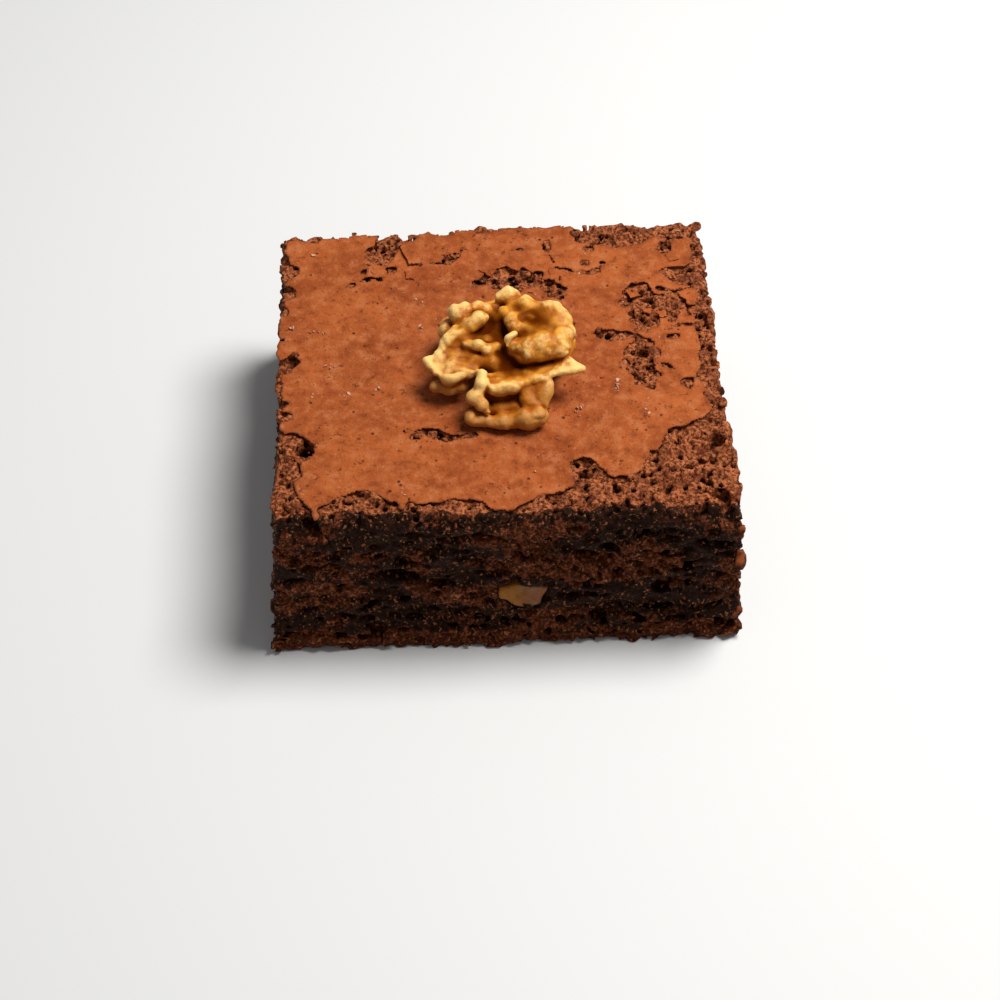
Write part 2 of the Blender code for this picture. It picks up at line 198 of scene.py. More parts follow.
# How many bubbles, grains and crumbs are scattered. Of the tries on the top, those on bare crumb stay.
SIDE_PITS = 700
SIDE_GRAINS = 900
TOP_GRAINS = 260
TOP_PITS = 260
SIDE_CRUMBS = 500
TOP_TRIES = 700

OUTSIDE = -9.0            # what a field says far away from its shape
WALNUT_SEAT = 30.50       # height of the crust the walnut lies on
WALNUT_FLAT = 0.05        # its flat underside over that
JOINT_SOFTNESS = 0.5      # how softly the stretches of one ridge join
WALNUT_DENTS = 0.22       # how much the folds between its small lobes dent it
WALNUT_SHRINK = 0.16      # taken off all round to make up for the lobes
# Ridges and lobes as x, y, height over the crust and radius. The first number is how softly the
# ridge melts into the rest.
WALNUT_RIDGES = (
    # the foot bar, the tooth over it, the pillar and the floor of the recess
    (0.3, (-4.6, -13.2, 1.9, 1.45), (-2.4, -13.6, 1.5, 1.15), (0.2, -13.9, 1.4, 1.25),
     (2.0, -13.7, 1.6, 1.15), (3.9, -13.9, 2.0, 1.8), (5.5, -13.5, 2.2, 1.5)),
    (0.12, (-4.1, -11.6, 4.9, 1.35), (-3.2, -12.7, 4.1, 1.2), (-2.3, -13.4, 3.5, 0.6)),
    (0.4, (-3.0, -8.3, 6.8, 1.1), (-3.1, -9.8, 6.0, 1.35), (-4.0, -10.8, 5.0, 1.3)),
    (0.4, (-2.6, -11.4, 1.3, 1.3), (3.6, -11.6, 1.4, 1.4)),
    # the pale lobe low at the left
    (0.4, (-10.4, -6.9, 3.0, 1.1), (-8.4, -6.8, 3.0, 1.3), (-6.3, -6.9, 3.3, 1.0)),
    # the raised lip round the left flange
    (0.8, (-6.8, 0.1, 7.6, 1.3), (-8.4, -1.1, 7.0, 1.15), (-10.0, -2.6, 6.2, 0.7), (-11.7, -4.0, 5.9, 0.6),
     (-10.4, -6.4, 5.5, 0.6), (-8.7, -7.5, 5.2, 0.65), (-6.1, -6.9, 5.5, 0.65), (-3.6, -7.2, 6.4, 0.85)),
    # the pale double knob and the lobes beside it
    (0.15, (-7.1, 4.2, 8.8, 1.0), (-6.4, 3.3, 8.3, 1.35), (-5.1, 4.3, 8.9, 1.15)),
    (0.3, (-6.2, 2.8, 7.9, 1.3), (-5.6, 2.0, 7.7, 1.3)),
    (0.25, (-3.0, 1.6, 9.2, 1.45), (-4.4, 0.8, 8.6, 1.35), (-5.6, 0.0, 7.9, 1.25)),
    (0.5, (-5.2, -0.8, 6.7, 1.6), (-2.4, -1.2, 6.8, 1.6)),
    # the two round knobs at the back and the saddle between them
    (0.15, (-2.9, 4.5, 9.0, 1.45), (-2.0, 4.1, 9.1, 1.35)),
    (0.3, (-1.4, 4.6, 8.2, 1.0), (-0.2, 5.4, 8.2, 1.1)),
    (0.15, (0.7, 6.5, 9.2, 1.45), (2.0, 6.6, 9.6, 1.6), (2.8, 6.5, 9.5, 1.4)),
    # the large curl at the right, and the small lip at its end
    (0.5, (2.6, 4.8, 9.1, 1.2), (4.7, 4.5, 9.6, 1.7), (6.6, 3.6, 9.2, 1.4), (8.6, 2.9, 9.5, 1.8),
     (10.1, 1.2, 9.0, 1.85), (10.6, -1.0, 8.3, 1.95), (9.2, -3.0, 7.8, 2.3), (6.9, -3.7, 7.7, 2.5),
     (4.4, -3.8, 7.7, 2.4), (2.8, -3.5, 7.8, 1.8)),
    (0.15, (1.2, -3.9, 8.7, 0.5), (1.5, -3.0, 9.4, 0.6), (2.6, -2.4, 9.7, 0.6)),
    (0.4, (1.4, 3.4, 9.2, 1.1), (2.3, 1.4, 9.2, 1.3), (2.9, -0.6, 8.8, 1.5)),
    (1.4, (4.6, 2.4, 8.0, 2.1), (7.2, 1.2, 7.8, 2.2), (8.0, -0.2, 7.8, 2.0), (4.8, -0.8, 8.0, 2.1)),
    (0.2, (4.3, 2.4, 9.6, 0.6), (5.4, 1.2, 9.5, 0.6), (7.0, 0.9, 9.4, 0.5)),
    # the valley between the knobs and the curl
    (0.8, (0.0, 2.6, 7.2, 1.6), (-0.5, 0.6, 6.4, 1.7), (-0.4, -1.6, 5.6, 1.6)),
    # the crest across the middle, over a rounder mass
    (0.2, (-5.0, -1.9, 7.2, 1.1), (-3.4, -2.6, 7.7, 1.15), (-1.9, -3.4, 7.3, 1.1), (-0.4, -2.8, 7.4, 0.9)),
    (0.5, (-3.6, -4.0, 5.4, 1.9), (-1.6, -4.4, 5.2, 2.0)),
    # the body under them
    (0.8, (-3.0, -1.0, 4.2, 2.9), (1.6, -2.6, 4.0, 3.2), (6.0, -1.0, 4.4, 3.5)),
    (0.8, (-4.4, 2.2, 4.6, 3.2), (0.0, 3.0, 4.6, 3.6), (5.0, 3.2, 4.9, 3.5)),
    (0.8, (-0.8, -5.6, 3.2, 2.2), (2.6, -6.2, 2.9, 2.2), (5.6, -7.4, 3.2, 2.2)),
    # lobes round the back and the right-hand side
    (0.3, (-8.0, 2.4, 6.0, 1.7), (-7.6, 4.6, 4.8, 1.9), (-5.6, 6.2, 4.2, 2.0), (-3.0, 7.2, 3.2, 2.1)),
    (0.3, (-3.6, 6.2, 6.9, 1.4), (-1.6, 7.4, 5.8, 1.8), (1.6, 8.2, 5.2, 2.0), (4.6, 7.6, 4.6, 2.1)),
    (0.3, (4.6, 6.4, 7.4, 1.4), (7.4, 5.4, 6.2, 2.0), (9.6, 3.4, 5.0, 2.2), (10.4, 0.2, 4.6, 2.1),
     (9.4, -3.3, 4.0, 2.0)),
    # what it stands on
    (0.6, (-5.0, 4.0, 2.4, 2.3), (0.0, 6.0, 2.6, 2.4), (6.0, 4.0, 2.4, 2.3), (8.4, -1.0, 2.4, 2.2)),
)
# Thin plates between the ridges: softness, which three corners make each plate (a is the first),
# then the corners as for the ridges
WALNUT_PLATES = (
    # the dished left flange
    (0.7, "abc acd ced", (-6.6, -0.6, 6.2, 1.1), (-11.3, -4.2, 5.6, 0.75), (-8.6, -7.2, 5.0, 0.75),
     (-4.2, -4.8, 5.0, 1.2), (-3.6, -7.2, 5.9, 0.9)),
    # the right wing, from the pillar to its pointed tip
    (0.3, "abc adc bef bcf egh efh gij ghj", (-1.6, -10.5, 5.6, 0.9), (2.2, -10.2, 5.4, 0.75),
     (1.1, -7.2, 4.6, 0.8), (-2.3, -7.6, 5.5, 0.9), (5.2, -8.9, 5.5, 0.7), (4.5, -6.3, 5.0, 0.8),
     (9.4, -7.6, 5.8, 0.6), (8.0, -5.5, 5.4, 0.8), (13.3, -6.8, 6.0, 0.45), (11.0, -5.0, 5.9, 0.6)),
    # the wall at the back of the recess, and the torn patch beside it
    (0.3, "abc bdc", (-3.2, -8.7, 5.0, 0.9), (3.4, -8.8, 4.6, 0.9), (-3.2, -9.6, 1.2, 1.0),
     (3.8, -10.2, 1.2, 1.0)),
    (0.2, "abc bdc", (3.6, -9.9, 4.6, 0.8), (7.9, -8.6, 4.8, 0.7), (4.2, -12.0, 2.9, 0.9),
     (6.4, -11.4, 3.0, 0.8)),
)

# The grids the fields are worked out on: the lowest and highest place along each axis
CRUMB_GRID = ((-FOOT_X - 2.2, FOOT_X + 2.6), (-FOOT_Y - 2.4, FOOT_Y + 2.2), (-0.9, HEIGHT + 2.2))
CRUST_GRID = ((-36.9, 36.4), (-32.9, 33.8))
WALNUT_GRID = ((-14.0, 15.2), (-17.2, 11.2), (-1.2, 13.6))
CHIP_GRID = ((-2.6, 7.8), (CHIP_FRONT - 1.0, CHIP_BACK + 1.0), (6.4, 15.4))

# Floor, camera and light, with angles in degrees
FLOOR_SIZE = 6000.0
CAMERA_TARGET = (-0.41, -16.12, 15.0)
CAMERA_AZIMUTH = -2.48
CAMERA_ELEVATION = 50.18
CAMERA_DISTANCE = 330.6
CAMERA_LENS = 71.28
KEY_DIRECTION = (0.42, 0.13, 1.0)
KEY_TARGET = (0.0, 0.0, 15.0)
KEY_DISTANCE = 600.0
KEY_SIZE = 285.0
KEY_POWER = 4.4
KEY_COLOUR = (1.0, 0.985, 0.96)
FILL_STRENGTH = 0.195


def smooth_step(low, high, value):
    """Rise from 0 at low to 1 at high, with no kink at either end."""
    share = np.clip((value - low) / (high - low), 0.0, 1.0)
    return share * share * (3.0 - 2.0 * share)


def blend(low, high, share):
    return low + (high - low) * share


def weigh_up(grid, parts):
    """Weighted sums of a grid's values. Each axis gives its first indices and the weights from there."""
    total = np.zeros(len(parts[0][0]), dtype=np.float32)
    for offsets in np.ndindex(*[weights.shape[1] for _, weights in parts]):
        weight = np.ones_like(total)
        for (_, weights), offset in zip(parts, offsets):
            weight *= weights[:, offset]
        total += weight * grid[tuple(first + offset for (first, _), offset in zip(parts, offsets))]
    return total


class Lumps:
    """A smooth random field with lumps of the given size along each axis, and a spread of about 1."""

    REACH = ((-46.0, 46.0), (-42.0, 42.0), (-4.0, 50.0))
    SPREAD = {1: 0.40, 2: 0.277, 3: 0.191}

    def __init__(self, seed, *size):
        self.size = size
        counts = [int((high - low) / step) + 5 for (low, high), step in zip(self.REACH, size)]
        values = np.random.default_rng(seed).uniform(-1.0, 1.0, counts)
        self.values = (values / self.SPREAD[len(size)]).astype(np.float32)

    def _weights(self, axis, places):
        """Which lattice point comes first, and the weights of the four that count, at each place."""
        steps = (np.asarray(places, dtype=np.float64) - self.REACH[axis][0]) / self.size[axis]
        first = np.clip(np.floor(steps).astype(int), 0, self.values.shape[axis] - 4)
        t = steps - first
        weights = np.stack([(1 - t) ** 3, 3 * t ** 3 - 6 * t ** 2 + 4,
                            -3 * t ** 3 + 3 * t ** 2 + 3 * t + 1, t ** 3], axis=-1) / 6.0
        return first, weights.astype(np.float32)

    def on_grid(self, *axes):
        """Values over the whole grid that these axes span."""
        result = self.values
        for axis, places in enumerate(axes):
            first, weights = self._weights(axis, places)
            matrix = np.zeros((len(places), self.values.shape[axis]), dtype=np.float32)
            for offset in range(4):
                matrix[np.arange(len(places)), first + offset] += weights[:, offset]
            result = np.moveaxis(np.tensordot(matrix, result, axes=(1, axis)), 0, axis)
        return result

    def at(self, *places):
        """Values at separate places."""
        return weigh_up(self.values, [self._weights(axis, values) for axis, values in enumerate(places)])


def random_lumps(axes, *layers):
    """Random lumps over a grid. Each layer is its strength, its seed and its lump size, which is one
    number for all axes or one for each."""
    return sum(strength * Lumps(seed, *size * (len(axes) // len(size))).on_grid(*axes)
               for strength, seed, *size in layers)


def grid_axes(ranges, step):
    """The places along each axis of a grid."""
    return [np.arange(low, high + step, step) for low, high in ranges]


def plane_level(x, y):
    """Height of the top before any relief: a slightly twisted plane."""
    across = x / (2 * TOP_X) + 0.5
    back = y / (2 * TOP_Y) + 0.5
    front_rise = blend(CORNER_RISE["front_left"], CORNER_RISE["front_right"], across)
    back_rise = blend(CORNER_RISE["back_left"], CORNER_RISE["back_right"], across)
    return HEIGHT + blend(front_rise, back_rise, back)


def distance_to_line(x, y, start, end):
    """Distance from each place to a straight stretch."""
    run = np.subtract(end, start)
    share = ((x - start[0]) * run[0] + (y - start[1]) * run[1]) / float(run @ run)
    share = np.clip(share, 0.0, 1.0)
    return np.hypot(x - start[0] - share * run[0], y - start[1] - share * run[1])


def inset_from_outline(x, y, outline):
    """Distance to a closed outline, positive inside it."""
    distance = np.full(np.broadcast(x, y).shape, np.inf)
    inside = np.zeros(distance.shape, dtype=bool)
    for start, end in zip(outline, outline[1:] + outline[:1]):
        distance = np.minimum(distance, distance_to_line(x, y, start, end))
        crosses = (start[1] > y) != (end[1] > y)
        rise = end[1] - start[1] if end[1] != start[1] else 1e-9
        inside ^= crosses & (x < start[0] + (y - start[1]) / rise * (end[0] - start[0]))
    return np.where(inside, distance, -distance)


def crust_inset(x, y, rag, fine_rag):
    """How far inside the crust's torn edge each place lies; below 0 the crumb is bare."""
    torn = smooth_step(-31.5, -28.0, -y) + smooth_step(28.0, 32.0, x) + 0.35
    inset = inset_from_outline(x, y, CRUST_OUTLINE) + 0.30 * np.clip(torn, 0, 1) * rag + 0.16 * fine_rag
    for centre_x, centre_y, half_x, half_y, turn in CRUST_HOLES:
        c, s = math.cos(math.radians(turn)), math.sin(math.radians(turn))
        across = ((x - centre_x) * c + (y - centre_y) * s) / half_x
        back = (-(x - centre_x) * s + (y - centre_y) * c) / half_y
        size = min(half_x, half_y)
        hole = (np.hypot(across, back) - 1.0) * size + min(0.5, 0.22 * size) * (rag + fine_rag)
        inset = np.minimum(inset, hole)
    for half_width, *points in CRUST_CRACKS:
        for start, end in zip(points[:-1], points[1:]):
            crack = distance_to_line(x, y, start, end) - half_width * (0.75 + 0.9 * fine_rag + 0.3 * rag)
            inset = np.minimum(inset, crack)
    return inset


RAG = Lumps(11, 2.1, 2.1)
FINE_RAG = Lumps(12, 0.85, 0.85)
TOP_SWELL = Lumps(13, 11.0, 11.0)
TOP_RIPPLE = Lumps(14, 3.2, 3.2)


def top_grid(xs, ys):
    """The crust's inset and the top's level over a grid."""
    x, y = np.ix_(xs, ys)
    inset = crust_inset(x, y, RAG.on_grid(xs, ys), FINE_RAG.on_grid(xs, ys))
    level = plane_level(x, y) + 0.14 * TOP_SWELL.on_grid(xs, ys) + 0.05 * TOP_RIPPLE.on_grid(xs, ys)
    return inset, level


def surface_net(field, axes):
    """Mesh the surface where the field passes through 0, facing away from where it is positive."""
    inside = field > 0
    corners = sum(inside[a:a + field.shape[0] - 1, b:b + field.shape[1] - 1, c:c + field.shape[2] - 1]
                  .astype(np.uint8) for a, b, c in np.ndindex(2, 2, 2))
    cells = np.argwhere((corners > 0) & (corners < 8))
    number = np.full(corners.shape, -1, dtype=np.int64)
    number[tuple(cells.T)] = np.arange(len(cells))
    total = np.zeros((len(cells), 3))
    found = np.zeros(len(cells))
    for axis in range(3):
        others = [other for other in range(3) if other != axis]
        for corner in np.ndindex(2, 2):
            low = np.zeros(3, dtype=int)
            low[others] = corner
            high = low.copy()
            high[axis] = 1
            at_low = field[tuple((cells + low).T)]
            at_high = field[tuple((cells + high).T)]
            crossed = (at_low > 0) != (at_high > 0)
            share = at_low[crossed] / (at_low[crossed] - at_high[crossed])
            total[crossed] += low + share[:, None] * (high - low)
            found[crossed] += 1
    places = cells + total / found[:, None]
    points = np.stack([np.interp(places[:, k], np.arange(len(axes[k])), axes[k]) for k in range(3)], -1)

    faces = []
    for axis in range(3):
        first, second = (axis + 1) % 3, (axis + 2) % 3
        low = np.take(inside, range(field.shape[axis] - 1), axis)
        high = np.take(inside, range(1, field.shape[axis]), axis)
        for leaving in (True, False):
            edge = np.argwhere((low & ~high) if leaving else (~low & high))
            edge = edge[(edge[:, first] > 0) & (edge[:, second] > 0)]
            back_first, back_second = np.zeros(3, dtype=int), np.zeros(3, dtype=int)
            back_first[first], back_second[second] = 1, 1
            ring = [edge, edge - back_first, edge - back_first - back_second, edge - back_second]
            if not leaving:
                ring.reverse()
            quads = np.stack([number[tuple(np.clip(cell, 0, np.array(number.shape) - 1).T)]
                              for cell in ring], -1)
            faces.append(quads[(quads >= 0).all(axis=1)])
    return points, np.concatenate(faces)


def largest_part(points, faces):
    """Only the largest connected part of a mesh, without the islands and closed bubbles of the noise."""
    label = np.arange(len(points))
    near = np.concatenate([faces[:, 0], faces[:, 1], faces[:, 2]])
    far = np.concatenate([faces[:, 1], faces[:, 2], faces[:, 3]])
    while len(near):
        low = np.minimum(label[near], label[far])
        label[np.maximum(label[near], label[far])] = low
        while (label != label[label]).any():
            label = label[label]
        apart = label[near] != label[far]
        near, far = near[apart], far[apart]
    kept = label == np.bincount(label).argmax()
    number = np.cumsum(kept) - 1
    return points[kept], number[faces[kept[faces[:, 0]]]]


def sample(grid, axes, points):
    """Read a grid at separate points, by straight-line interpolation."""
    parts = []
    for axis, places in enumerate(axes):
        position = (points[:, axis] - places[0]) / (places[1] - places[0])
        first = np.clip(position.astype(int), 0, len(places) - 2)
        share = np.clip(position - first, 0.0, 1.0)
        parts.append((first, np.stack([1.0 - share, share], axis=1)))
    return weigh_up(grid, parts)


def soften(grid, axes, reach):
    """Blur a grid with a Gaussian of this reach in millimetres."""
    for axis, places in enumerate(axes):
        apart = places[:, None] - places[None, :]
        matrix = np.exp(-0.5 * (apart / reach) ** 2).astype(np.float32)
        matrix /= matrix.sum(axis=1, keepdims=True)
        grid = np.moveaxis(np.tensordot(matrix, grid, axes=(1, axis)), 0, axis)
    return grid


def stamp(field, axes, centres, radii, join):
    """Add (join=max) or cut away (join=min) an ellipsoid at each centre."""
    for centre, radius in zip(centres, radii):
        window = []
        offsets = []
        for axis, places in enumerate(axes):
            step = places[1] - places[0]
            margin = radius[axis] + 2 * step
            first = max(int((centre[axis] - margin - places[0]) / step), 0)
            last = min(int((centre[axis] + margin - places[0]) / step) + 2, len(places))
            window.append(slice(first, last))
            offsets.append((places[first:last] - centre[axis]) / radius[axis])
        if any(len(offset) == 0 for offset in offsets):
            continue
        x, y, z = np.ix_(*offsets)
        distance = np.sqrt(x ** 2 + y ** 2 + z ** 2)
        ball = ((1.0 - distance) * min(radius)).astype(np.float32)
        if join is max:
            field[tuple(window)] = np.maximum(field[tuple(window)], ball)
        else:
            field[tuple(window)] = np.minimum(field[tuple(window)], -ball)


def put_in_scene(name, data):
    thing = bpy.data.objects.new(name, data)
    bpy.context.scene.collection.objects.link(thing)
    return thing


def mesh_object(name, points, faces):
    """A mesh from points in millimetres."""
    mesh = bpy.data.meshes.new(name)
    mesh.from_pydata(points * MM, [], faces)
    mesh.update()
    return put_in_scene(name, mesh)


def thin_out(thing, triangles):
    """Replace a mesh by one with about this many triangles."""
    count = sum(len(polygon.vertices) - 2 for polygon in thing.data.polygons)
    if count <= triangles:
        return
    modifier = thing.modifiers.new("thin", "DECIMATE")
    modifier.ratio = triangles / count
    evaluated = thing.evaluated_get(bpy.context.evaluated_depsgraph_get())
    mesh = bpy.data.meshes.new_from_object(evaluated)
    thing.modifiers.clear()
    old = thing.data
    thing.data = mesh
    bpy.data.meshes.remove(old)


def points_of(thing):
    """The object's points in millimetres."""
    flat = np.empty(len(thing.data.vertices) * 3, dtype=np.float32)
    thing.data.vertices.foreach_get("co", flat)
    return flat.reshape(-1, 3) / MM


def set_attribute(thing, name, values):
    layer = thing.data.attributes.new(name, "FLOAT", "POINT")
    layer.data.foreach_set("value", np.asarray(values, dtype=np.float32))


def finish_piece(thing, material, node=None):
    """Give a piece its material and its place in the frame."""
    thing.data.materials.append(material)
    thing.data.shade_smooth()
    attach(thing, "root")
    if node:
        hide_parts(node)


# ---------------- the crumb

def half_width(z):
    """How far the left and right sides stand from the middle at this height, without RIGHT_OUT."""
    return FOOT_X - FLARE_X * z / HEIGHT + SIDE_OUT


def half_depth(z):
    """The same for the front and the back, without FOOT_OUT, RIM_LEAN and BACK_OUT."""
    return FOOT_Y - FLARE_Y * z / HEIGHT + SIDE_OUT


def front_relief(xs, zs):
    """Over the front cut: how far it stands out or is hollowed, and how crumbly it is."""
    x, z = np.ix_(xs, zs)
    depth = np.zeros((len(xs), len(zs)), dtype=np.float32)
    crumbly = np.zeros_like(depth)
    wobble_x = random_lumps((xs, zs), (0.9, 31, 2.4))
    wobble_z = random_lumps((xs, zs), (0.35, 32, 2.8, 1.6))
    for centre, level, half_x, half_z, out in FRONT_LUMPS:
        distance = np.hypot((x + wobble_x - centre) / half_x, (z + wobble_z - level) / half_z)
        share = 1.0 - smooth_step(0.55, 1.25, distance)
        depth = np.minimum(depth, -out * share)
        crumbly = np.maximum(crumbly, share)
    for centre, level, half_x, half_z, deepest in FRONT_HOLLOWS:
        distance = np.hypot((x + wobble_x - centre) / half_x, (z + wobble_z - level) / half_z)
        share = 1.0 - smooth_step(0.45, 1.1, distance)
        depth = np.maximum(depth, deepest * share)
        crumbly *= 1.0 - 0.5 * share
    return depth, crumbly


def crumb_texture(axes):
    """Over the grid: smeared layers, broad lumps, and the fine relief of torn cake."""
    layers = random_lumps(axes, (0.16, 21, 7.5, 7.5, 1.5), (0.12, 28, 4.0, 4.0, 0.75))
    lumps = random_lumps(axes, (1.0, 22, 2.4, 2.4, 1.5))
    crumbs = np.abs(random_lumps(axes, (0.44, 25, 1.15, 1.15, 0.95)))
    crumbs += np.abs(random_lumps(axes, (0.30, 26, 0.7, 0.7, 0.6)))
    return layers, lumps, crumbs - 0.55 + 0.14 * lumps


def fudge_share(axes, lumps, crumbly):
    """How fudgy the cake is: patchy inside, mostly smeared over the front, not at all at its foot."""
    _, y, z = np.ix_(*axes)
    fudge = smooth_step(-0.3, 0.7, random_lumps(axes, (1.0, 24, 9.0, 9.0, 2.6)))
    near_front = 1.0 - smooth_step(*SMEAR_REACH, y + FOOT_Y)
    smeared = np.clip(0.66 + random_lumps(axes, (0.22, 29, 5.0, 5.0, 1.7)), 0.2, 1.0)
    fudge = blend(fudge, smeared * (1.0 - 0.9 * crumbly[:, None, :]), near_front)
    base_band = 1.0 - smooth_step(BASE_CRUST - 0.8, BASE_CRUST + 0.6, z + 0.5 * lumps)
    return (fudge * (1.0 - base_band)).astype(np.float32)


def inside_the_cuts(axes, relief, depth, foot):
    """How far each place lies inside the nearest cut side."""
    x, y, z = np.ix_(*axes)
    left = half_width(z) + x
    right = half_width(z) + RIGHT_OUT - x
    back = half_depth(z) + BACK_OUT - y
    skirt = FOOT_OUT * (1.0 - smooth_step(0.0, SKIRT_HEIGHT, z))
    lean = RIM_LEAN * smooth_step(HEIGHT - 3.6, HEIGHT - 0.4, z)
    front = half_depth(z) + skirt - lean + y - foot * depth[:, None, :]
    return np.minimum(np.minimum(left, right), np.minimum(front, back)) - relief


def grow_crumb():
    """The cake's crumb as a field, with what its material needs to know."""
    axes = grid_axes(CRUMB_GRID, CRUMB_STEP)
    xs, ys, zs = axes
    z = zs[None, None, :]
    inset, level = top_grid(xs, ys)
    covered = smooth_step(*COVER_BAND, inset)[:, :, None]
    bare = 1.0 - covered
    foot = smooth_step(0.0, 1.5, z)

    layers, lumps, crumbs = crumb_texture(axes)
    depth, crumbly = front_relief(xs, zs)
    fudge = fudge_share(axes, lumps, crumbly)
    relief = np.clip(layers - (1.0 - FUDGE_SMOOTHNESS * fudge) * crumbs, -1.0, 1.4)
    sides = inside_the_cuts(axes, relief, depth, foot)
    top = level[:, :, None] - (CRUST_THICKNESS + bare * (BARE_DROP - 1.1 * crumbs)) - z
    body = np.minimum(np.minimum(sides, top), z - 0.12 + 0.06 * lumps)
    rounding = RIM_SOFTNESS * 0.25 * np.clip(1.0 - np.abs(sides - top) / RIM_SOFTNESS, 0.0, None) ** 2
    body = (body - rounding * (1.0 - covered * 0.5)).astype(np.float32)

    shelter = (0.7 + 3.3 * covered) * smooth_step(HEIGHT - 4.0, HEIGHT - 2.0, z) + 4.0 * (1.0 - foot)
    voids = 0.75 * (VOID_RARITY + shelter - random_lumps(axes, (1.0, 27, 1.6, 1.6, 0.95)))
    body = np.minimum(body, np.maximum(voids, body - VOID_DEPTH)).astype(np.float32)
    add_grains_and_pits(body, axes, inset, level)
    np.minimum(body, -(chip_field(axes) + CHIP_GAP), out=body)
    for axis in range(3):
        ends = np.moveaxis(body, axis, 0)
        ends[0], ends[-1] = -1.0, -1.0
    return body, axes, fudge, inset, level


def scatter_on_sides(rng, count):
    """Random places on the four cut sides, and whether each is on the left or the right."""
    places = []
    for _ in range(count):
        side = rng.integers(4)
        z = rng.uniform(1.3, HEIGHT - 0.6)
        wide, deep = half_width(z), half_depth(z)
        if side < 2:
            places.append((wide * (1 if side else -1), rng.uniform(1.0 - deep, deep - 1.0), z, True))
        else:
            places.append((rng.uniform(1.0 - wide, wide - 1.0), deep * (1 if side == 3 else -1), z, False))
    return places


def uneven(rng, size):
    """A size that differs a little from axis to axis."""
    return size, size * rng.uniform(0.8, 1.3), size * rng.uniform(0.7, 1.0)


def add_grains_and_pits(body, axes, inset, level):
    """Crumbs that stand out, and bubbles that were cut open, on the sides and the bare top."""
    rng = np.random.default_rng(41)
    xs, ys = axes[0], axes[1]
    pits, pit_sizes, grains, grain_sizes = [], [], [], []
    for x, y, z, at_side in scatter_on_sides(rng, SIDE_PITS):
        wide = rng.uniform(0.5, 1.7)
        high = wide * rng.uniform(0.35, 0.7)
        deep = rng.uniform(0.5, 1.2)
        pits.append((x, y, z))
        pit_sizes.append((deep, wide, high) if at_side else (wide, deep, high))
    for x, y, z, _ in scatter_on_sides(rng, SIDE_GRAINS):
        grains.append((x, y, z))
        grain_sizes.append(uneven(rng, rng.uniform(0.3, 0.6)))
    within = np.minimum(TOP_X - np.abs(xs)[:, None], TOP_Y - np.abs(ys)[None, :])
    bare = np.argwhere((inset < 0.4) & (within > 0.1))
    bare = bare[rng.permutation(len(bare))]
    for i, j in bare[:TOP_GRAINS]:
        size = rng.uniform(0.35, 0.7)
        grains.append((xs[i], ys[j], level[i, j] - 0.9 + rng.uniform(-0.15, 0.3)))
        grain_sizes.append(uneven(rng, size))
    for i, j in bare[TOP_GRAINS:TOP_GRAINS + TOP_PITS]:
        size = rng.uniform(0.3, 0.65)
        pits.append((xs[i], ys[j], level[i, j] - 1.0))
        pit_sizes.append((size, size * rng.uniform(0.7, 1.2), rng.uniform(0.7, 1.5)))
    stamp(body, axes, grains, grain_sizes, max)
    stamp(body, axes, pits, pit_sizes, min)
    stamp(body, axes, [hole[:3] for hole in DEEP_HOLES], [hole[3:] for hole in DEEP_HOLES], min)


def set_hollowness(thing, name, solid, axes, reach, places):
    """Store how hollow the surface is near each point: below 0 on what stands out, above 0 in dents."""
    set_attribute(thing, name, 2.0 * sample(soften(solid, axes, reach), axes, places) - 1.0)


def field_object(name, field, axes, step, triangles, seat=0.0):
    """Mesh a field's largest part. Gives the object, its points on the grid, and how solid the grid is."""
    points, faces = largest_part(*surface_net(field, axes))
    thing = mesh_object(name, points + (0.0, 0.0, seat), faces)
    thin_out(thing, triangles)
    places = points_of(thing) - np.array((0.0, 0.0, seat), dtype=np.float32)
    return thing, places, np.clip(field / step + 0.5, 0.0, 1.0)


def make_crumb(material):
    """The cake's crumb, with what its material reads at each point."""
    body, axes, fudge, inset, level = grow_crumb()
    crumb, places, solid = field_object("cake_crumb", body, axes, CRUMB_STEP, CRUMB_TRIANGLES)
    set_hollowness(crumb, "hollow", solid, axes, 0.8, places)
    set_hollowness(crumb, "deep_hollow", solid[::2, ::2, ::2], [steps[::2] for steps in axes], 2.2, places)
    set_attribute(crumb, "fudge", sample(fudge, axes, places))
    top = smooth_step(-2.8, -1.6, places[:, 2] - sample(level, axes[:2], places))
    from_front = half_depth(places[:, 2]) + places[:, 1] + 0.5 * Lumps(42, 3.0, 3.0).at(*places[:, :2].T)
    set_attribute(crumb, "top", top * smooth_step(1.5, 2.7, from_front))
    finish_piece(crumb, material, "brownie")


# ---------------- the crust

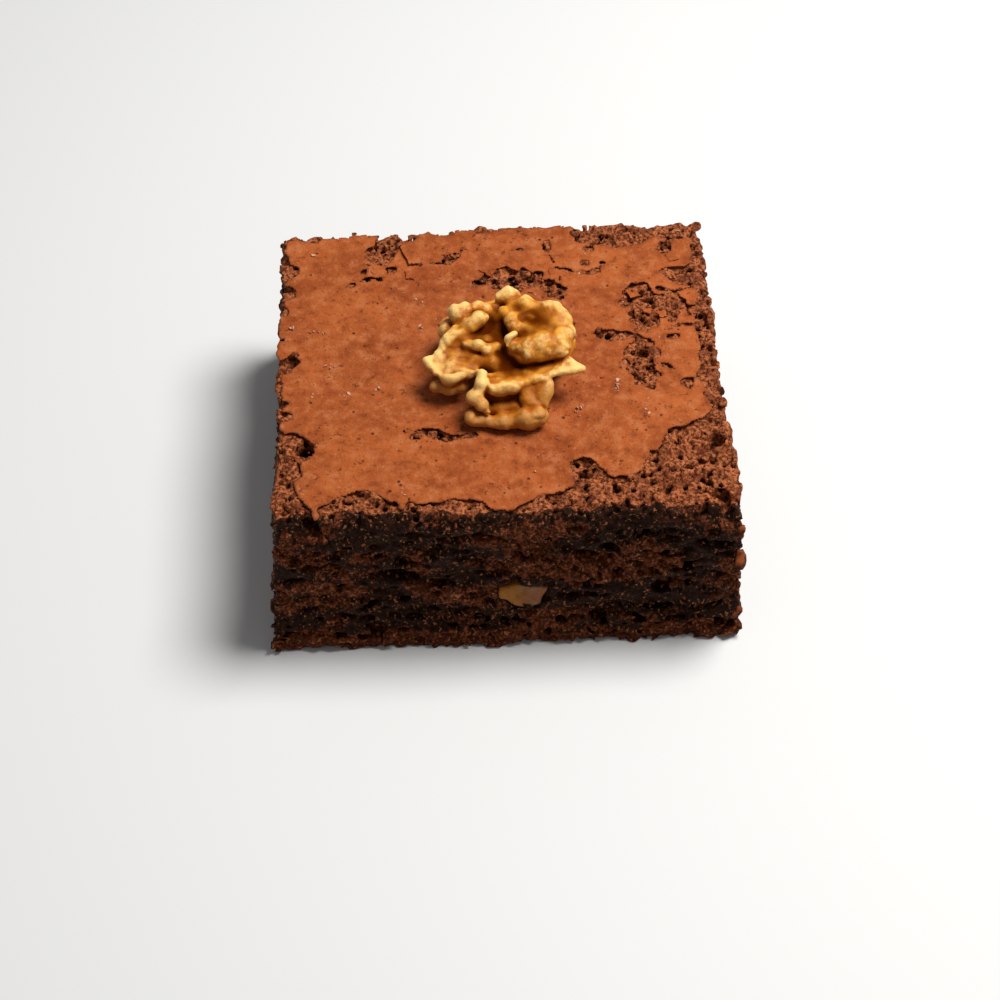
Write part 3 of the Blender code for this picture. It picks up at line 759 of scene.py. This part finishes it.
def make_crust(material):
    """The papery crust: a thin closed sheet whose edge follows its torn outline."""
    xs, ys = grid_axes(CRUST_GRID, CRUST_STEP)
    inset, level = top_grid(xs, ys)
    kept = inset > 0
    whole = kept[:-1, :-1] & kept[1:, :-1] & kept[1:, 1:] & kept[:-1, 1:]
    used = np.zeros_like(kept)
    for a, b in np.ndindex(2, 2):
        used[a:a + whole.shape[0], b:b + whole.shape[1]] |= whole
    slope_x, slope_y = np.gradient(inset, CRUST_STEP)
    steep = np.maximum(slope_x ** 2 + slope_y ** 2, 0.3)
    edge = used & ~(kept & (inset > CRUST_STEP * 1.2))
    shift = np.where(edge, np.clip(inset, 0, CRUST_STEP), 0.0) / steep
    x = np.broadcast_to(xs[:, None], kept.shape) - shift * slope_x
    y = np.broadcast_to(ys[None, :], kept.shape) - shift * slope_y

    curl = np.exp(-np.clip(inset, 0, None) / 0.9)
    lift = np.clip(0.16 + random_lumps((xs, ys), (0.14, 51, 4.0)), -0.05, 0.4)
    fine = random_lumps((xs, ys), (0.022, 52, 1.3), (0.010, 53, 0.6))
    upper = level + lift * curl + fine
    lower = level - CRUST_THICKNESS * (1.0 - 0.45 * curl) + lift * curl

    number = np.full(kept.shape, -1, dtype=np.int64)
    number[used] = np.arange(used.sum())
    top_points = np.stack([x[used], y[used], upper[used]], -1)
    low_points = np.stack([x[used], y[used], lower[used]], -1)
    quads = np.stack([number[:-1, :-1], number[1:, :-1], number[1:, 1:], number[:-1, 1:]], -1)[whole]
    below = quads[:, ::-1] + used.sum()
    walls = border_walls(quads, used.sum())
    crust = mesh_object("cake_crust", np.concatenate([top_points, low_points]),
                        np.concatenate([quads, below, walls]))
    thin_out(crust, CRUST_TRIANGLES)
    places = points_of(crust)
    set_attribute(crust, "inset", sample(inset, (xs, ys), places))
    finish_piece(crust, material)


def make_scraps(material):
    """Thin torn scraps of crust, each leaning a little, joined in one mesh."""
    rng = np.random.default_rng(55)
    points, faces = [], []
    for height, *corners in CRUST_SCRAPS:
        ring = []
        for start, end in zip(corners, corners[1:] + corners[:1]):
            for share in (0.0, 0.25, 0.5, 0.75):
                ring.append(blend(np.array(start), np.array(end), share) + rng.normal(0.0, SCRAP_RAG, 2))
        ring = np.array(ring)[::-1]
        middle = ring.mean(axis=0)
        lean = rng.uniform(-0.08, 0.02, 2)
        level = plane_level(ring[:, 0], ring[:, 1]) + height + (ring - middle) @ lean
        count, first = len(ring), sum(len(part) for part in points)
        points.append(np.column_stack([ring, level]))
        points.append(np.column_stack([ring, level - SCRAP_THICKNESS]))
        faces.append(list(range(first, first + count)))
        faces.append(list(range(first + 2 * count - 1, first + count - 1, -1)))
        for step in range(count):
            after = (step + 1) % count
            faces.append([first + step, first + count + step, first + count + after, first + after])
    scraps = mesh_object("crust_scraps", np.concatenate(points), faces)
    set_attribute(scraps, "inset", np.full(len(scraps.data.vertices), 0.4))
    finish_piece(scraps, material)
    scraps.data.shade_flat()


def border_walls(quads, offset):
    """Quads that close the rim between a sheet's upper and lower faces."""
    edges = np.concatenate([quads[:, [0, 1]], quads[:, [1, 2]], quads[:, [2, 3]], quads[:, [3, 0]]])
    size = int(quads.max()) + 1
    forward = edges[:, 0] * size + edges[:, 1]
    backward = edges[:, 1] * size + edges[:, 0]
    rim = edges[~np.isin(forward, backward)]
    return np.stack([rim[:, 1], rim[:, 0], rim[:, 0] + offset, rim[:, 1] + offset], -1)


# ---------------- the walnut half and the chip

def melt(first, second, softness):
    """The larger of two fields, with the crease between them rounded."""
    meet = np.clip(softness - np.abs(first - second), 0.0, None)
    return np.maximum(first, second) + meet * meet / (4.0 * softness)


def tube_field(axes, start, end):
    """Distance inside a tapered tube with round ends."""
    x, y, z = np.ix_(*axes)
    run = np.subtract(end, start)
    along = (x - start[0]) * run[0] + (y - start[1]) * run[1] + (z - start[2]) * run[2]
    share = np.clip(along / float(run[:3] @ run[:3]), 0.0, 1.0)
    apart = np.sqrt((x - start[0] - share * run[0]) ** 2 + (y - start[1] - share * run[1]) ** 2
                    + (z - start[2] - share * run[2]) ** 2)
    return (start[3] + share * run[3] - apart).astype(np.float32)


def plate_field(axes, corners):
    """Distance inside a thin rounded plate with three corners."""
    x, y, z = np.ix_(*axes)
    first, second, third = [np.array(corner) for corner in corners]
    along, across = (second - first)[:3], (third - first)[:3]
    upright = np.cross(along, across)
    area = float(upright @ upright)
    dx, dy, dz = x - first[0], y - first[1], z - first[2]
    share = []
    for way in (np.cross(across, upright), np.cross(upright, along)):
        share.append((dx * way[0] + dy * way[1] + dz * way[2]) / area)
    over = np.abs(dx * upright[0] + dy * upright[1] + dz * upright[2]) / math.sqrt(area)
    thickness = first[3] + share[0] * (second[3] - first[3]) + share[1] * (third[3] - first[3])
    inside = (share[0] > 0) & (share[1] > 0) & (share[0] + share[1] < 1)
    field = np.where(inside, thickness - over, OUTSIDE).astype(np.float32)
    for start, end in ((first, second), (second, third), (third, first)):
        field = np.maximum(field, tube_field(axes, start, end))
    return field


def window_round(axes, points):
    """The part of a grid round some points with radii: its slices, and its own axes."""
    margin = max(point[3] for point in points) + 1.5
    window, near = [], []
    for axis, places in enumerate(axes):
        low = min(point[axis] for point in points) - margin
        high = max(point[axis] for point in points) + margin
        part = slice(int(np.searchsorted(places, low)), int(np.searchsorted(places, high)))
        window.append(part)
        near.append(places[part])
    return tuple(window), near


def make_walnut(material):
    """The walnut half: ridges and plates melted together, with small dents, cut flat below."""
    axes = grid_axes(WALNUT_GRID, WALNUT_STEP)
    field = np.full([len(places) for places in axes], OUTSIDE, dtype=np.float32)
    for softness, *points in WALNUT_RIDGES:
        window, near = window_round(axes, points)
        ridge = tube_field(near, points[0], points[1])
        for start, end in zip(points[1:-1], points[2:]):
            ridge = melt(ridge, tube_field(near, start, end), JOINT_SOFTNESS)
        field[window] = melt(field[window], ridge, softness)
    for softness, plates, *patch in WALNUT_PLATES:
        for letters in plates.split():
            corners = [patch["abcdefghij".index(letter)] for letter in letters]
            window, near = window_round(axes, corners)
            field[window] = melt(field[window], plate_field(near, corners), softness)
    field += random_lumps(axes, (0.20, 61, 2.4), (0.09, 62, 1.1))
    folds = np.clip(np.abs(random_lumps(axes, (1.0, 64, 1.8))), 0.0, 0.9)
    field += WALNUT_DENTS * folds - WALNUT_SHRINK
    field += random_lumps(axes, (0.025, 63, 0.55))
    field = np.minimum(field, axes[2][None, None, :] - WALNUT_FLAT)
    walnut, places, solid = field_object("walnut_kernel", field, axes, WALNUT_STEP, WALNUT_TRIANGLES,
                                         WALNUT_SEAT)
    set_hollowness(walnut, "hollow", solid, axes, 0.55, places)
    set_hollowness(walnut, "deep_hollow", solid, axes, 2.2, places)
    finish_piece(walnut, material, "walnut_half")


def chip_field(axes):
    """The chip as a field over a grid: its outline run back into the cake, with broken faces."""
    xs, ys, zs = axes
    outline = inset_from_outline(*np.ix_(xs, zs), CHIP_OUTLINE).astype(np.float32)[:, None, :]
    x, y, z = np.ix_(xs, ys, zs)
    tilt = 0.10 * (x - 2.5) + 0.06 * (z - 11.0)
    depth = np.minimum(y - CHIP_FRONT - 0.35 - tilt, CHIP_BACK - y)
    return np.minimum(outline, depth).astype(np.float32)


def make_chip(material):
    axes = grid_axes(CHIP_GRID, CHIP_STEP)
    field = chip_field(axes) + random_lumps(axes, (0.14, 71, 1.8), (0.05, 72, 0.7))
    points, faces = surface_net(soften(field, axes, 0.16), axes)
    finish_piece(mesh_object("walnut_piece", points, faces), material, "walnut_chip")


# ---------------- loose crumbs, flakes and specks

def lump_shape(detail):
    """Points and faces of a round lump one unit in radius."""
    shape = bmesh.new()
    bmesh.ops.create_icosphere(shape, subdivisions=detail, radius=1.0)
    points = np.array([point.co[:] for point in shape.verts])
    faces = np.array([[point.index for point in face.verts] for face in shape.faces])
    shape.free()
    return points, faces


def scatter(name, places, sizes, flatness, material, seed):
    """One joined mesh of uneven lumps at these places."""
    rng = np.random.default_rng(seed)
    points, faces = lump_shape(2)
    all_points, all_faces = [], []
    for number, (place, size) in enumerate(zip(places, sizes)):
        bend = rng.normal(size=(3, 3)) * 1.3
        shift = rng.uniform(0.0, 6.0, 3)
        dents = 1.0 + 0.34 * np.sin(points @ bend + shift).sum(axis=1) / 1.5
        turn, _ = np.linalg.qr(rng.normal(size=(3, 3)))
        if np.linalg.det(turn) < 0:
            turn[:, 0] *= -1.0
        lump = points * dents[:, None] * (1.0, rng.uniform(0.6, 1.0), flatness)
        all_points.append(lump @ turn.T * size + place)
        all_faces.append(faces + number * len(points))
    thing = mesh_object(name, np.concatenate(all_points), np.concatenate(all_faces))
    finish_piece(thing, material)


def make_crumbs(material):
    """Crumbs that cling to the cut sides and the torn rim, and flakes that stand out at the right."""
    rng = np.random.default_rng(81)
    places, sizes = [], []
    for x, y, z, _ in scatter_on_sides(rng, SIDE_CRUMBS):
        places.append((x, y, z))
        sizes.append(rng.uniform(0.15, 0.42))
    for _ in range(TOP_TRIES):
        x, y = rng.uniform(0.7 - TOP_X, TOP_X - 0.7), rng.uniform(1.2 - TOP_Y, TOP_Y - 0.7)
        inset = crust_inset(np.array([[x]]), np.array([[y]]), 0.0, 0.0)[0, 0]
        if inset < 0.0:
            places.append((x, y, float(plane_level(x, y)) - rng.uniform(0.4, 0.8)))
            sizes.append(rng.uniform(0.18, 0.5))
    for y, z, size in EDGE_FLAKES:
        places.append((half_width(z) + RIGHT_OUT - 0.25 * size, y, z))
        sizes.append(size)
    scatter("loose_crumbs", places, sizes, 0.45, material, 82)


def make_specks(material):
    """Pale specks lying on the crust."""
    rng = np.random.default_rng(91)
    places, sizes = [], []
    for centre_x, centre_y, spread, count, largest in SPECK_GROUPS:
        for _ in range(count):
            x, y = rng.normal(centre_x, spread), rng.normal(centre_y, spread)
            if abs(x) < TOP_X - 0.6 and abs(y) < TOP_Y - 0.6:
                places.append((x, y, float(plane_level(x, y)) + 0.10))
                sizes.append(rng.uniform(0.3, 1.0) * largest)
    scatter("pale_specks", places, sizes, 0.35, material, 92)


# ---------------- materials

class Nodes:
    """Builds a material's nodes."""

    def __init__(self, name):
        self.material = bpy.data.materials.new(name)
        self.material.use_nodes = True
        self.tree = self.material.node_tree
        self.shader = self.tree.nodes["Principled BSDF"]
        self.place = self.tree.nodes.new("ShaderNodeTexCoord").outputs["Object"]

    def fill(self, node, inputs):
        """Link or set some inputs of a node."""
        for name, value in inputs.items():
            if isinstance(value, bpy.types.NodeSocket):
                self.tree.links.new(value, node.inputs[name])
            else:
                node.inputs[name].default_value = value

    def add(self, kind, output, inputs, **settings):
        """Add a node with these inputs and settings, and give one of its outputs."""
        node = self.tree.nodes.new("ShaderNode" + kind)
        for name, value in settings.items():
            setattr(node, name, value)
        self.fill(node, inputs)
        return node.outputs[output]

    def attribute(self, name):
        return self.add("Attribute", "Fac", {}, attribute_name=name)

    def along(self, axis, low_mm, high_mm):
        """Goes from 0 to 1 between two places along an axis."""
        place = self.add("SeparateXYZ", axis, {"Vector": self.place})
        return self.spread(place, low_mm * MM, high_mm * MM)

    def noise(self, size_mm, detail=3.0, roughness=0.55):
        """Noise with lumps of about this size."""
        return self.add("TexNoise", "Fac", {"Vector": self.place, "Scale": 1.0 / (size_mm * MM),
                                            "Detail": detail, "Roughness": roughness})

    def cells(self, size_mm):
        """Distance from the middle of round cells of about this size."""
        return self.add("TexVoronoi", "Distance", {"Vector": self.place, "Scale": 1.0 / (size_mm * MM)})

    def spread(self, value, low, high, to_low=0.0, to_high=1.0):
        """Map a value's range onto another, clamped and eased."""
        ranges = {"From Min": low, "From Max": high, "To Min": to_low, "To Max": to_high}
        return self.add("MapRange", "Result", {"Value": value, **ranges}, interpolation_type="SMOOTHSTEP")

    def math(self, operation, first, second):
        return self.add("Math", "Value", {0: first, 1: second}, operation=operation)

    def mix(self, share, first, second):
        """Mix two colours, each a socket or an (r, g, b)."""
        first, second = [colour if isinstance(colour, bpy.types.NodeSocket) else (*colour, 1.0)
                         for colour in (first, second)]
        return self.add("Mix", 2, {0: share, 6: first, 7: second}, data_type="RGBA")

    def tint(self, colour, *layers):
        """Lay tints over a colour: each a value, where it starts and is full, how full, and the tint."""
        for value, start, full, most, tint in layers:
            colour = self.mix(self.spread(value, start, full, 0.0, most), colour, tint)
        return colour

    def bump(self, height, distance_mm, strength, normal=None):
        """A bump this high, over another one if given."""
        under = {"Normal": normal} if normal is not None else {}
        return self.add("Bump", "Normal", {"Height": height, "Distance": distance_mm * MM,
                                           "Strength": strength, **under})

    def finish(self, colour, roughness, specular, **more):
        """Set the shader's inputs and give the material."""
        self.fill(self.shader, {"Base Color": colour, "Roughness": roughness,
                                "Specular IOR Level": specular, **more})
        return self.material


def crumb_material():
    """Dark fudge and redder crumb between it, with painted light and shade: crumb painted lighter on the
    top than on the cut sides, painted shade darkening the hollows to near-black, and pale flecks that are
    partly painted highlights.
    """
    n = Nodes("brownie_crumb")
    grain = n.noise(0.55, detail=4.0, roughness=0.7)
    clump = n.noise(1.3, detail=3.0, roughness=0.6)
    patch = n.noise(3.0, detail=3.0)
    dither = n.math("MULTIPLY", n.math("SUBTRACT", clump, 0.5), 1.7)
    # Painted light and shade: the crumb of the cut sides is painted about half as light as the same crumb
    # bared on the top.
    shaded_side_crumb = n.tint((0.030, 0.0062, 0.0022),
                        (grain, 0.42, 0.62, 1.0, (0.230, 0.062, 0.022)),
                        (patch, 0.35, 0.70, 0.5, (0.100, 0.024, 0.008)))
    lit_top_crumb = n.tint((0.070, 0.014, 0.005),
                       (grain, 0.40, 0.60, 1.0, (0.470, 0.142, 0.052)),
                       (patch, 0.56, 0.38, 0.55, (0.100, 0.021, 0.008)))
    top_share = n.spread(n.math("ADD", n.attribute("top"), dither), 0.30, 0.62)
    smear = n.tint((0.0080, 0.0022, 0.0009), (grain, 0.35, 0.65, 1.0, (0.036, 0.0115, 0.0048)))
    fudge = n.spread(n.math("ADD", n.attribute("fudge"), dither), 0.36, 0.58)
    side_fudge = n.math("MULTIPLY", fudge, n.spread(top_share, 0.2, 0.8, 1.0, 0.0))
    colour = n.mix(side_fudge, n.mix(top_share, shaded_side_crumb, lit_top_crumb), smear)
    foot = n.along("Z", 4.5, 1.0)
    # Pale flecks on the crumb: partly pale grains, partly painted highlights standing for light glinting on
    # crumbs.
    grain_and_glint = n.math("MULTIPLY", n.spread(n.noise(0.55, detail=3.0), 0.57, 0.64), n.spread(clump, 0.47, 0.56))
    hollow, deep = n.attribute("hollow"), n.attribute("deep_hollow")
    colour = n.tint(colour, (foot, 0.0, 1.0, 0.35, (0.030, 0.0060, 0.0020)))
    colour = n.mix(n.math("MULTIPLY", grain_and_glint, 0.75), colour, (0.420, 0.150, 0.062))
    # Painted shade: darkens the colour towards near-black in the hollows and deep hollows, where shade
    # falls.
    colour = n.tint(colour,
                    (hollow, 0.10, 0.52, 0.95, (0.010, 0.0022, 0.0009)),
                    (deep, 0.15, 0.65, 0.85, (0.006, 0.0016, 0.0008)))
    fine = n.bump(n.noise(0.30, detail=4.0, roughness=0.7), 0.16, 0.7)
    return n.finish(colour, n.spread(side_fudge, 0.2, 0.8, 0.80, 0.66),
                    n.spread(deep, -0.1, 0.4, 0.07, 0.0), Normal=n.bump(n.cells(0.7), 0.20, 0.5, fine))


def crust_material():
    """Papery reddish-brown crust with soft mottling, dark pits and pale flecks that are partly painted
    highlights.
    """
    n = Nodes("brownie_crust")
    broad = n.noise(9.0, detail=4.0, roughness=0.6)
    mottle = n.noise(2.2, detail=6.0, roughness=0.68)
    fine = n.noise(0.7, detail=4.0, roughness=0.6)
    blotch = n.math("MULTIPLY", n.spread(n.noise(1.0, detail=5.0, roughness=0.72), 0.41, 0.33),
                    n.spread(n.noise(4.0), 0.45, 0.56))
    pit = n.math("MULTIPLY", n.spread(n.cells(2.4), 0.15, 0.06), n.spread(n.noise(4.5), 0.47, 0.55))
    colour = n.tint((0.320, 0.066, 0.0130),
                    (broad, 0.30, 0.72, 1.0, (0.470, 0.112, 0.025)),
                    (mottle, 0.47, 0.68, 0.8, (0.510, 0.160, 0.054)),
                    (mottle, 0.47, 0.33, 0.7, (0.200, 0.044, 0.010)),
                    (fine, 0.42, 0.28, 0.75, (0.150, 0.032, 0.009)))
    colour = n.mix(n.math("MULTIPLY", blotch, 0.8), colour, (0.090, 0.019, 0.008))
    # Pale flecks at the fine noise's peaks: partly pale crumbs on the crust, partly painted highlights.
    colour = n.tint(colour, (fine, 0.63, 0.74, 0.6, (0.620, 0.250, 0.120)))
    colour = n.mix(n.math("MULTIPLY", pit, 0.85), colour, (0.060, 0.013, 0.006))
    colour = n.tint(colour, (n.attribute("inset"), 0.5, 0.0, 0.35, (0.200, 0.055, 0.020)))
    wrinkle = n.bump(n.noise(1.5, detail=7.0, roughness=0.76), 0.55, 0.9)
    low = n.math("MAXIMUM", pit, blotch)
    dent = n.bump(n.spread(low, 0.0, 1.0, 1.0, 0.0), 0.25, 0.8, wrinkle)
    return n.finish(colour, n.spread(mottle, 0.3, 0.7, 0.74, 0.58), 0.14,
                    Normal=n.bump(n.noise(0.35, detail=3.0), 0.07, 0.6, dent))


def walnut_material():
    """Toasted walnut: ochre flanks; cream on what stands out, partly its own pale ridges and partly painted
    light; painted light and shade by height, paler high and darker, more orange low; orange-brown creases,
    partly painted shade; and near-black painted shade in the deepest hollows.
    """
    n = Nodes("toasted_walnut")
    hollow, deep = n.attribute("hollow"), n.attribute("deep_hollow")
    tone = n.noise(3.0, detail=4.0)
    fine = n.noise(0.8, detail=4.0, roughness=0.65)
    # Painted light and shade by height: the high parts are painted paler and the low parts darker.
    high = n.along("Z", WALNUT_SEAT + 2.5, WALNUT_SEAT + 8.5)
    stands_out = n.math("ADD", n.math("MULTIPLY", hollow, 0.45), n.math("MULTIPLY", deep, 0.7))
    stands_out = n.math("ADD", stands_out, n.math("MULTIPLY", n.math("SUBTRACT", fine, 0.5), 0.7))
    # Cream on what stands out: partly the kernel's own pale ridges, partly painted light, and only on the
    # high parts.
    cream_and_light = n.math("MULTIPLY", n.spread(stands_out, -0.16, -0.52), n.spread(high, 0.2, 0.9, 0.25, 1.0))
    flank = n.tint((0.440, 0.122, 0.004), (tone, 0.32, 0.70, 1.0, (0.780, 0.325, 0.034)))
    # Painted shade: the flanks darken towards the low parts.
    flank = n.mix(n.spread(high, 0.0, 1.0, 0.75, 0.0), flank, (0.360, 0.090, 0.002))
    # Painted shade: the creases darken to orange-brown, partly their own colour, and the deepest hollows to
    # near-black.
    colour = n.tint(n.mix(cream_and_light, flank, (0.940, 0.590, 0.200)),
                    (hollow, -0.10, 0.16, 0.85, (0.340, 0.078, 0.002)),
                    (deep, -0.20, 0.22, 0.95, (0.075, 0.010, 0.0005)),
                    (fine, 0.36, 0.24, 0.5, (0.400, 0.140, 0.030)))
    n.fill(n.shader, {"Subsurface Weight": 0.12, "Subsurface Radius": (0.0016, 0.0008, 0.0003)})
    veins = n.bump(n.noise(1.1, detail=5.0, roughness=0.65), 0.30, 0.7)
    return n.finish(colour, n.spread(deep, 0.0, 0.3, 0.44, 0.90), n.spread(deep, -0.25, 0.15, 0.20, 0.0),
                    Normal=n.bump(n.noise(0.3, detail=3.0), 0.05, 0.5, veins))


def chip_material():
    """Broken walnut: ochre at the left, paler and greyer at the right."""
    n = Nodes("broken_walnut")
    tone = n.noise(1.8, detail=4.0)
    fine = n.noise(0.6, detail=4.0)
    right = n.math("ADD", n.along("X", -0.5, 5.5), n.math("SUBTRACT", tone, 0.5))
    colour = n.tint((0.300, 0.110, 0.0030),
                    (right, 0.1, 0.9, 1.0, (0.250, 0.130, 0.055)),
                    (tone, 0.56, 0.40, 0.6, (0.230, 0.048, 0.006)),
                    (fine, 0.45, 0.30, 0.5, (0.110, 0.030, 0.005)))
    return n.finish(colour, 0.5, 0.15, Normal=n.bump(n.noise(0.5, detail=4.0), 0.12, 0.6))


def speck_material():
    """Pale pink-brown flecks."""
    n = Nodes("pale_speck")
    colour = n.tint((0.420, 0.190, 0.100), (n.noise(0.5), 0.3, 0.7, 1.0, (0.640, 0.400, 0.270)))
    return n.finish(colour, 0.6, 0.5)


def loose_crumb_material():
    """Reddish-brown crumbs, some much darker than others."""
    n = Nodes("loose_crumb")
    tone = n.noise(1.6, detail=2.0)
    grain = n.noise(0.35, detail=4.0, roughness=0.7)
    colour = n.tint((0.036, 0.008, 0.003),
                    (tone, 0.35, 0.65, 1.0, (0.240, 0.060, 0.019)),
                    (grain, 0.55, 0.30, 0.6, (0.050, 0.014, 0.007)))
    return n.finish(colour, 0.75, 0.08, Normal=n.bump(grain, 0.2, 0.9))


def floor_material():
    """A plain pale floor."""
    return Nodes("pale_floor").finish((0.76, 0.765, 0.765, 1.0), 0.55, 0.2)


# ---------------- stage, light and camera

def look_from(thing, place, target):
    """Stand a camera or a light at a place, turned to its target."""
    place, target = Vector(place), Vector(target)
    thing.location = place * MM
    thing.rotation_euler = (target - place).to_track_quat("-Z", "Y").to_euler()


def make_stage():
    bpy.ops.mesh.primitive_plane_add(size=FLOOR_SIZE * MM, location=(0.0, 0.0, 0.0))
    floor = bpy.context.object
    floor.name = "floor"
    floor.data.materials.append(floor_material())


def make_camera():
    azimuth, elevation = math.radians(CAMERA_AZIMUTH), math.radians(CAMERA_ELEVATION)
    back = (math.sin(azimuth) * math.cos(elevation), -math.cos(azimuth) * math.cos(elevation),
            math.sin(elevation))
    data = bpy.data.cameras.new("camera")
    data.lens = CAMERA_LENS
    data.sensor_width = 36.0
    data.clip_start = 0.01
    camera = put_in_scene("camera", data)
    place = [target + CAMERA_DISTANCE * way for target, way in zip(CAMERA_TARGET, back)]
    look_from(camera, place, CAMERA_TARGET)
    bpy.context.scene.camera = camera


def make_lights():
    data = bpy.data.lights.new("key", "AREA")
    data.shape = "DISK"
    data.size = KEY_SIZE * MM
    data.energy = KEY_POWER
    data.color = KEY_COLOUR
    key = put_in_scene("key", data)
    length = math.sqrt(sum(way * way for way in KEY_DIRECTION))
    look_from(key, [way / length * KEY_DISTANCE for way in KEY_DIRECTION], KEY_TARGET)
    world = bpy.data.worlds.new("fill")
    world.use_nodes = True
    background = world.node_tree.nodes["Background"]
    background.inputs["Color"].default_value = (1.0, 1.0, 1.0, 1.0)
    background.inputs["Strength"].default_value = FILL_STRENGTH
    bpy.context.scene.world = world
    bpy.context.scene.view_settings.view_transform = "Standard"


make_camera()
make_lights()
make_stage()
make_crumb(crumb_material())
papery = crust_material()
make_crust(papery)
make_scraps(papery)
make_walnut(walnut_material())
make_chip(chip_material())
make_crumbs(loose_crumb_material())
make_specks(speck_material())
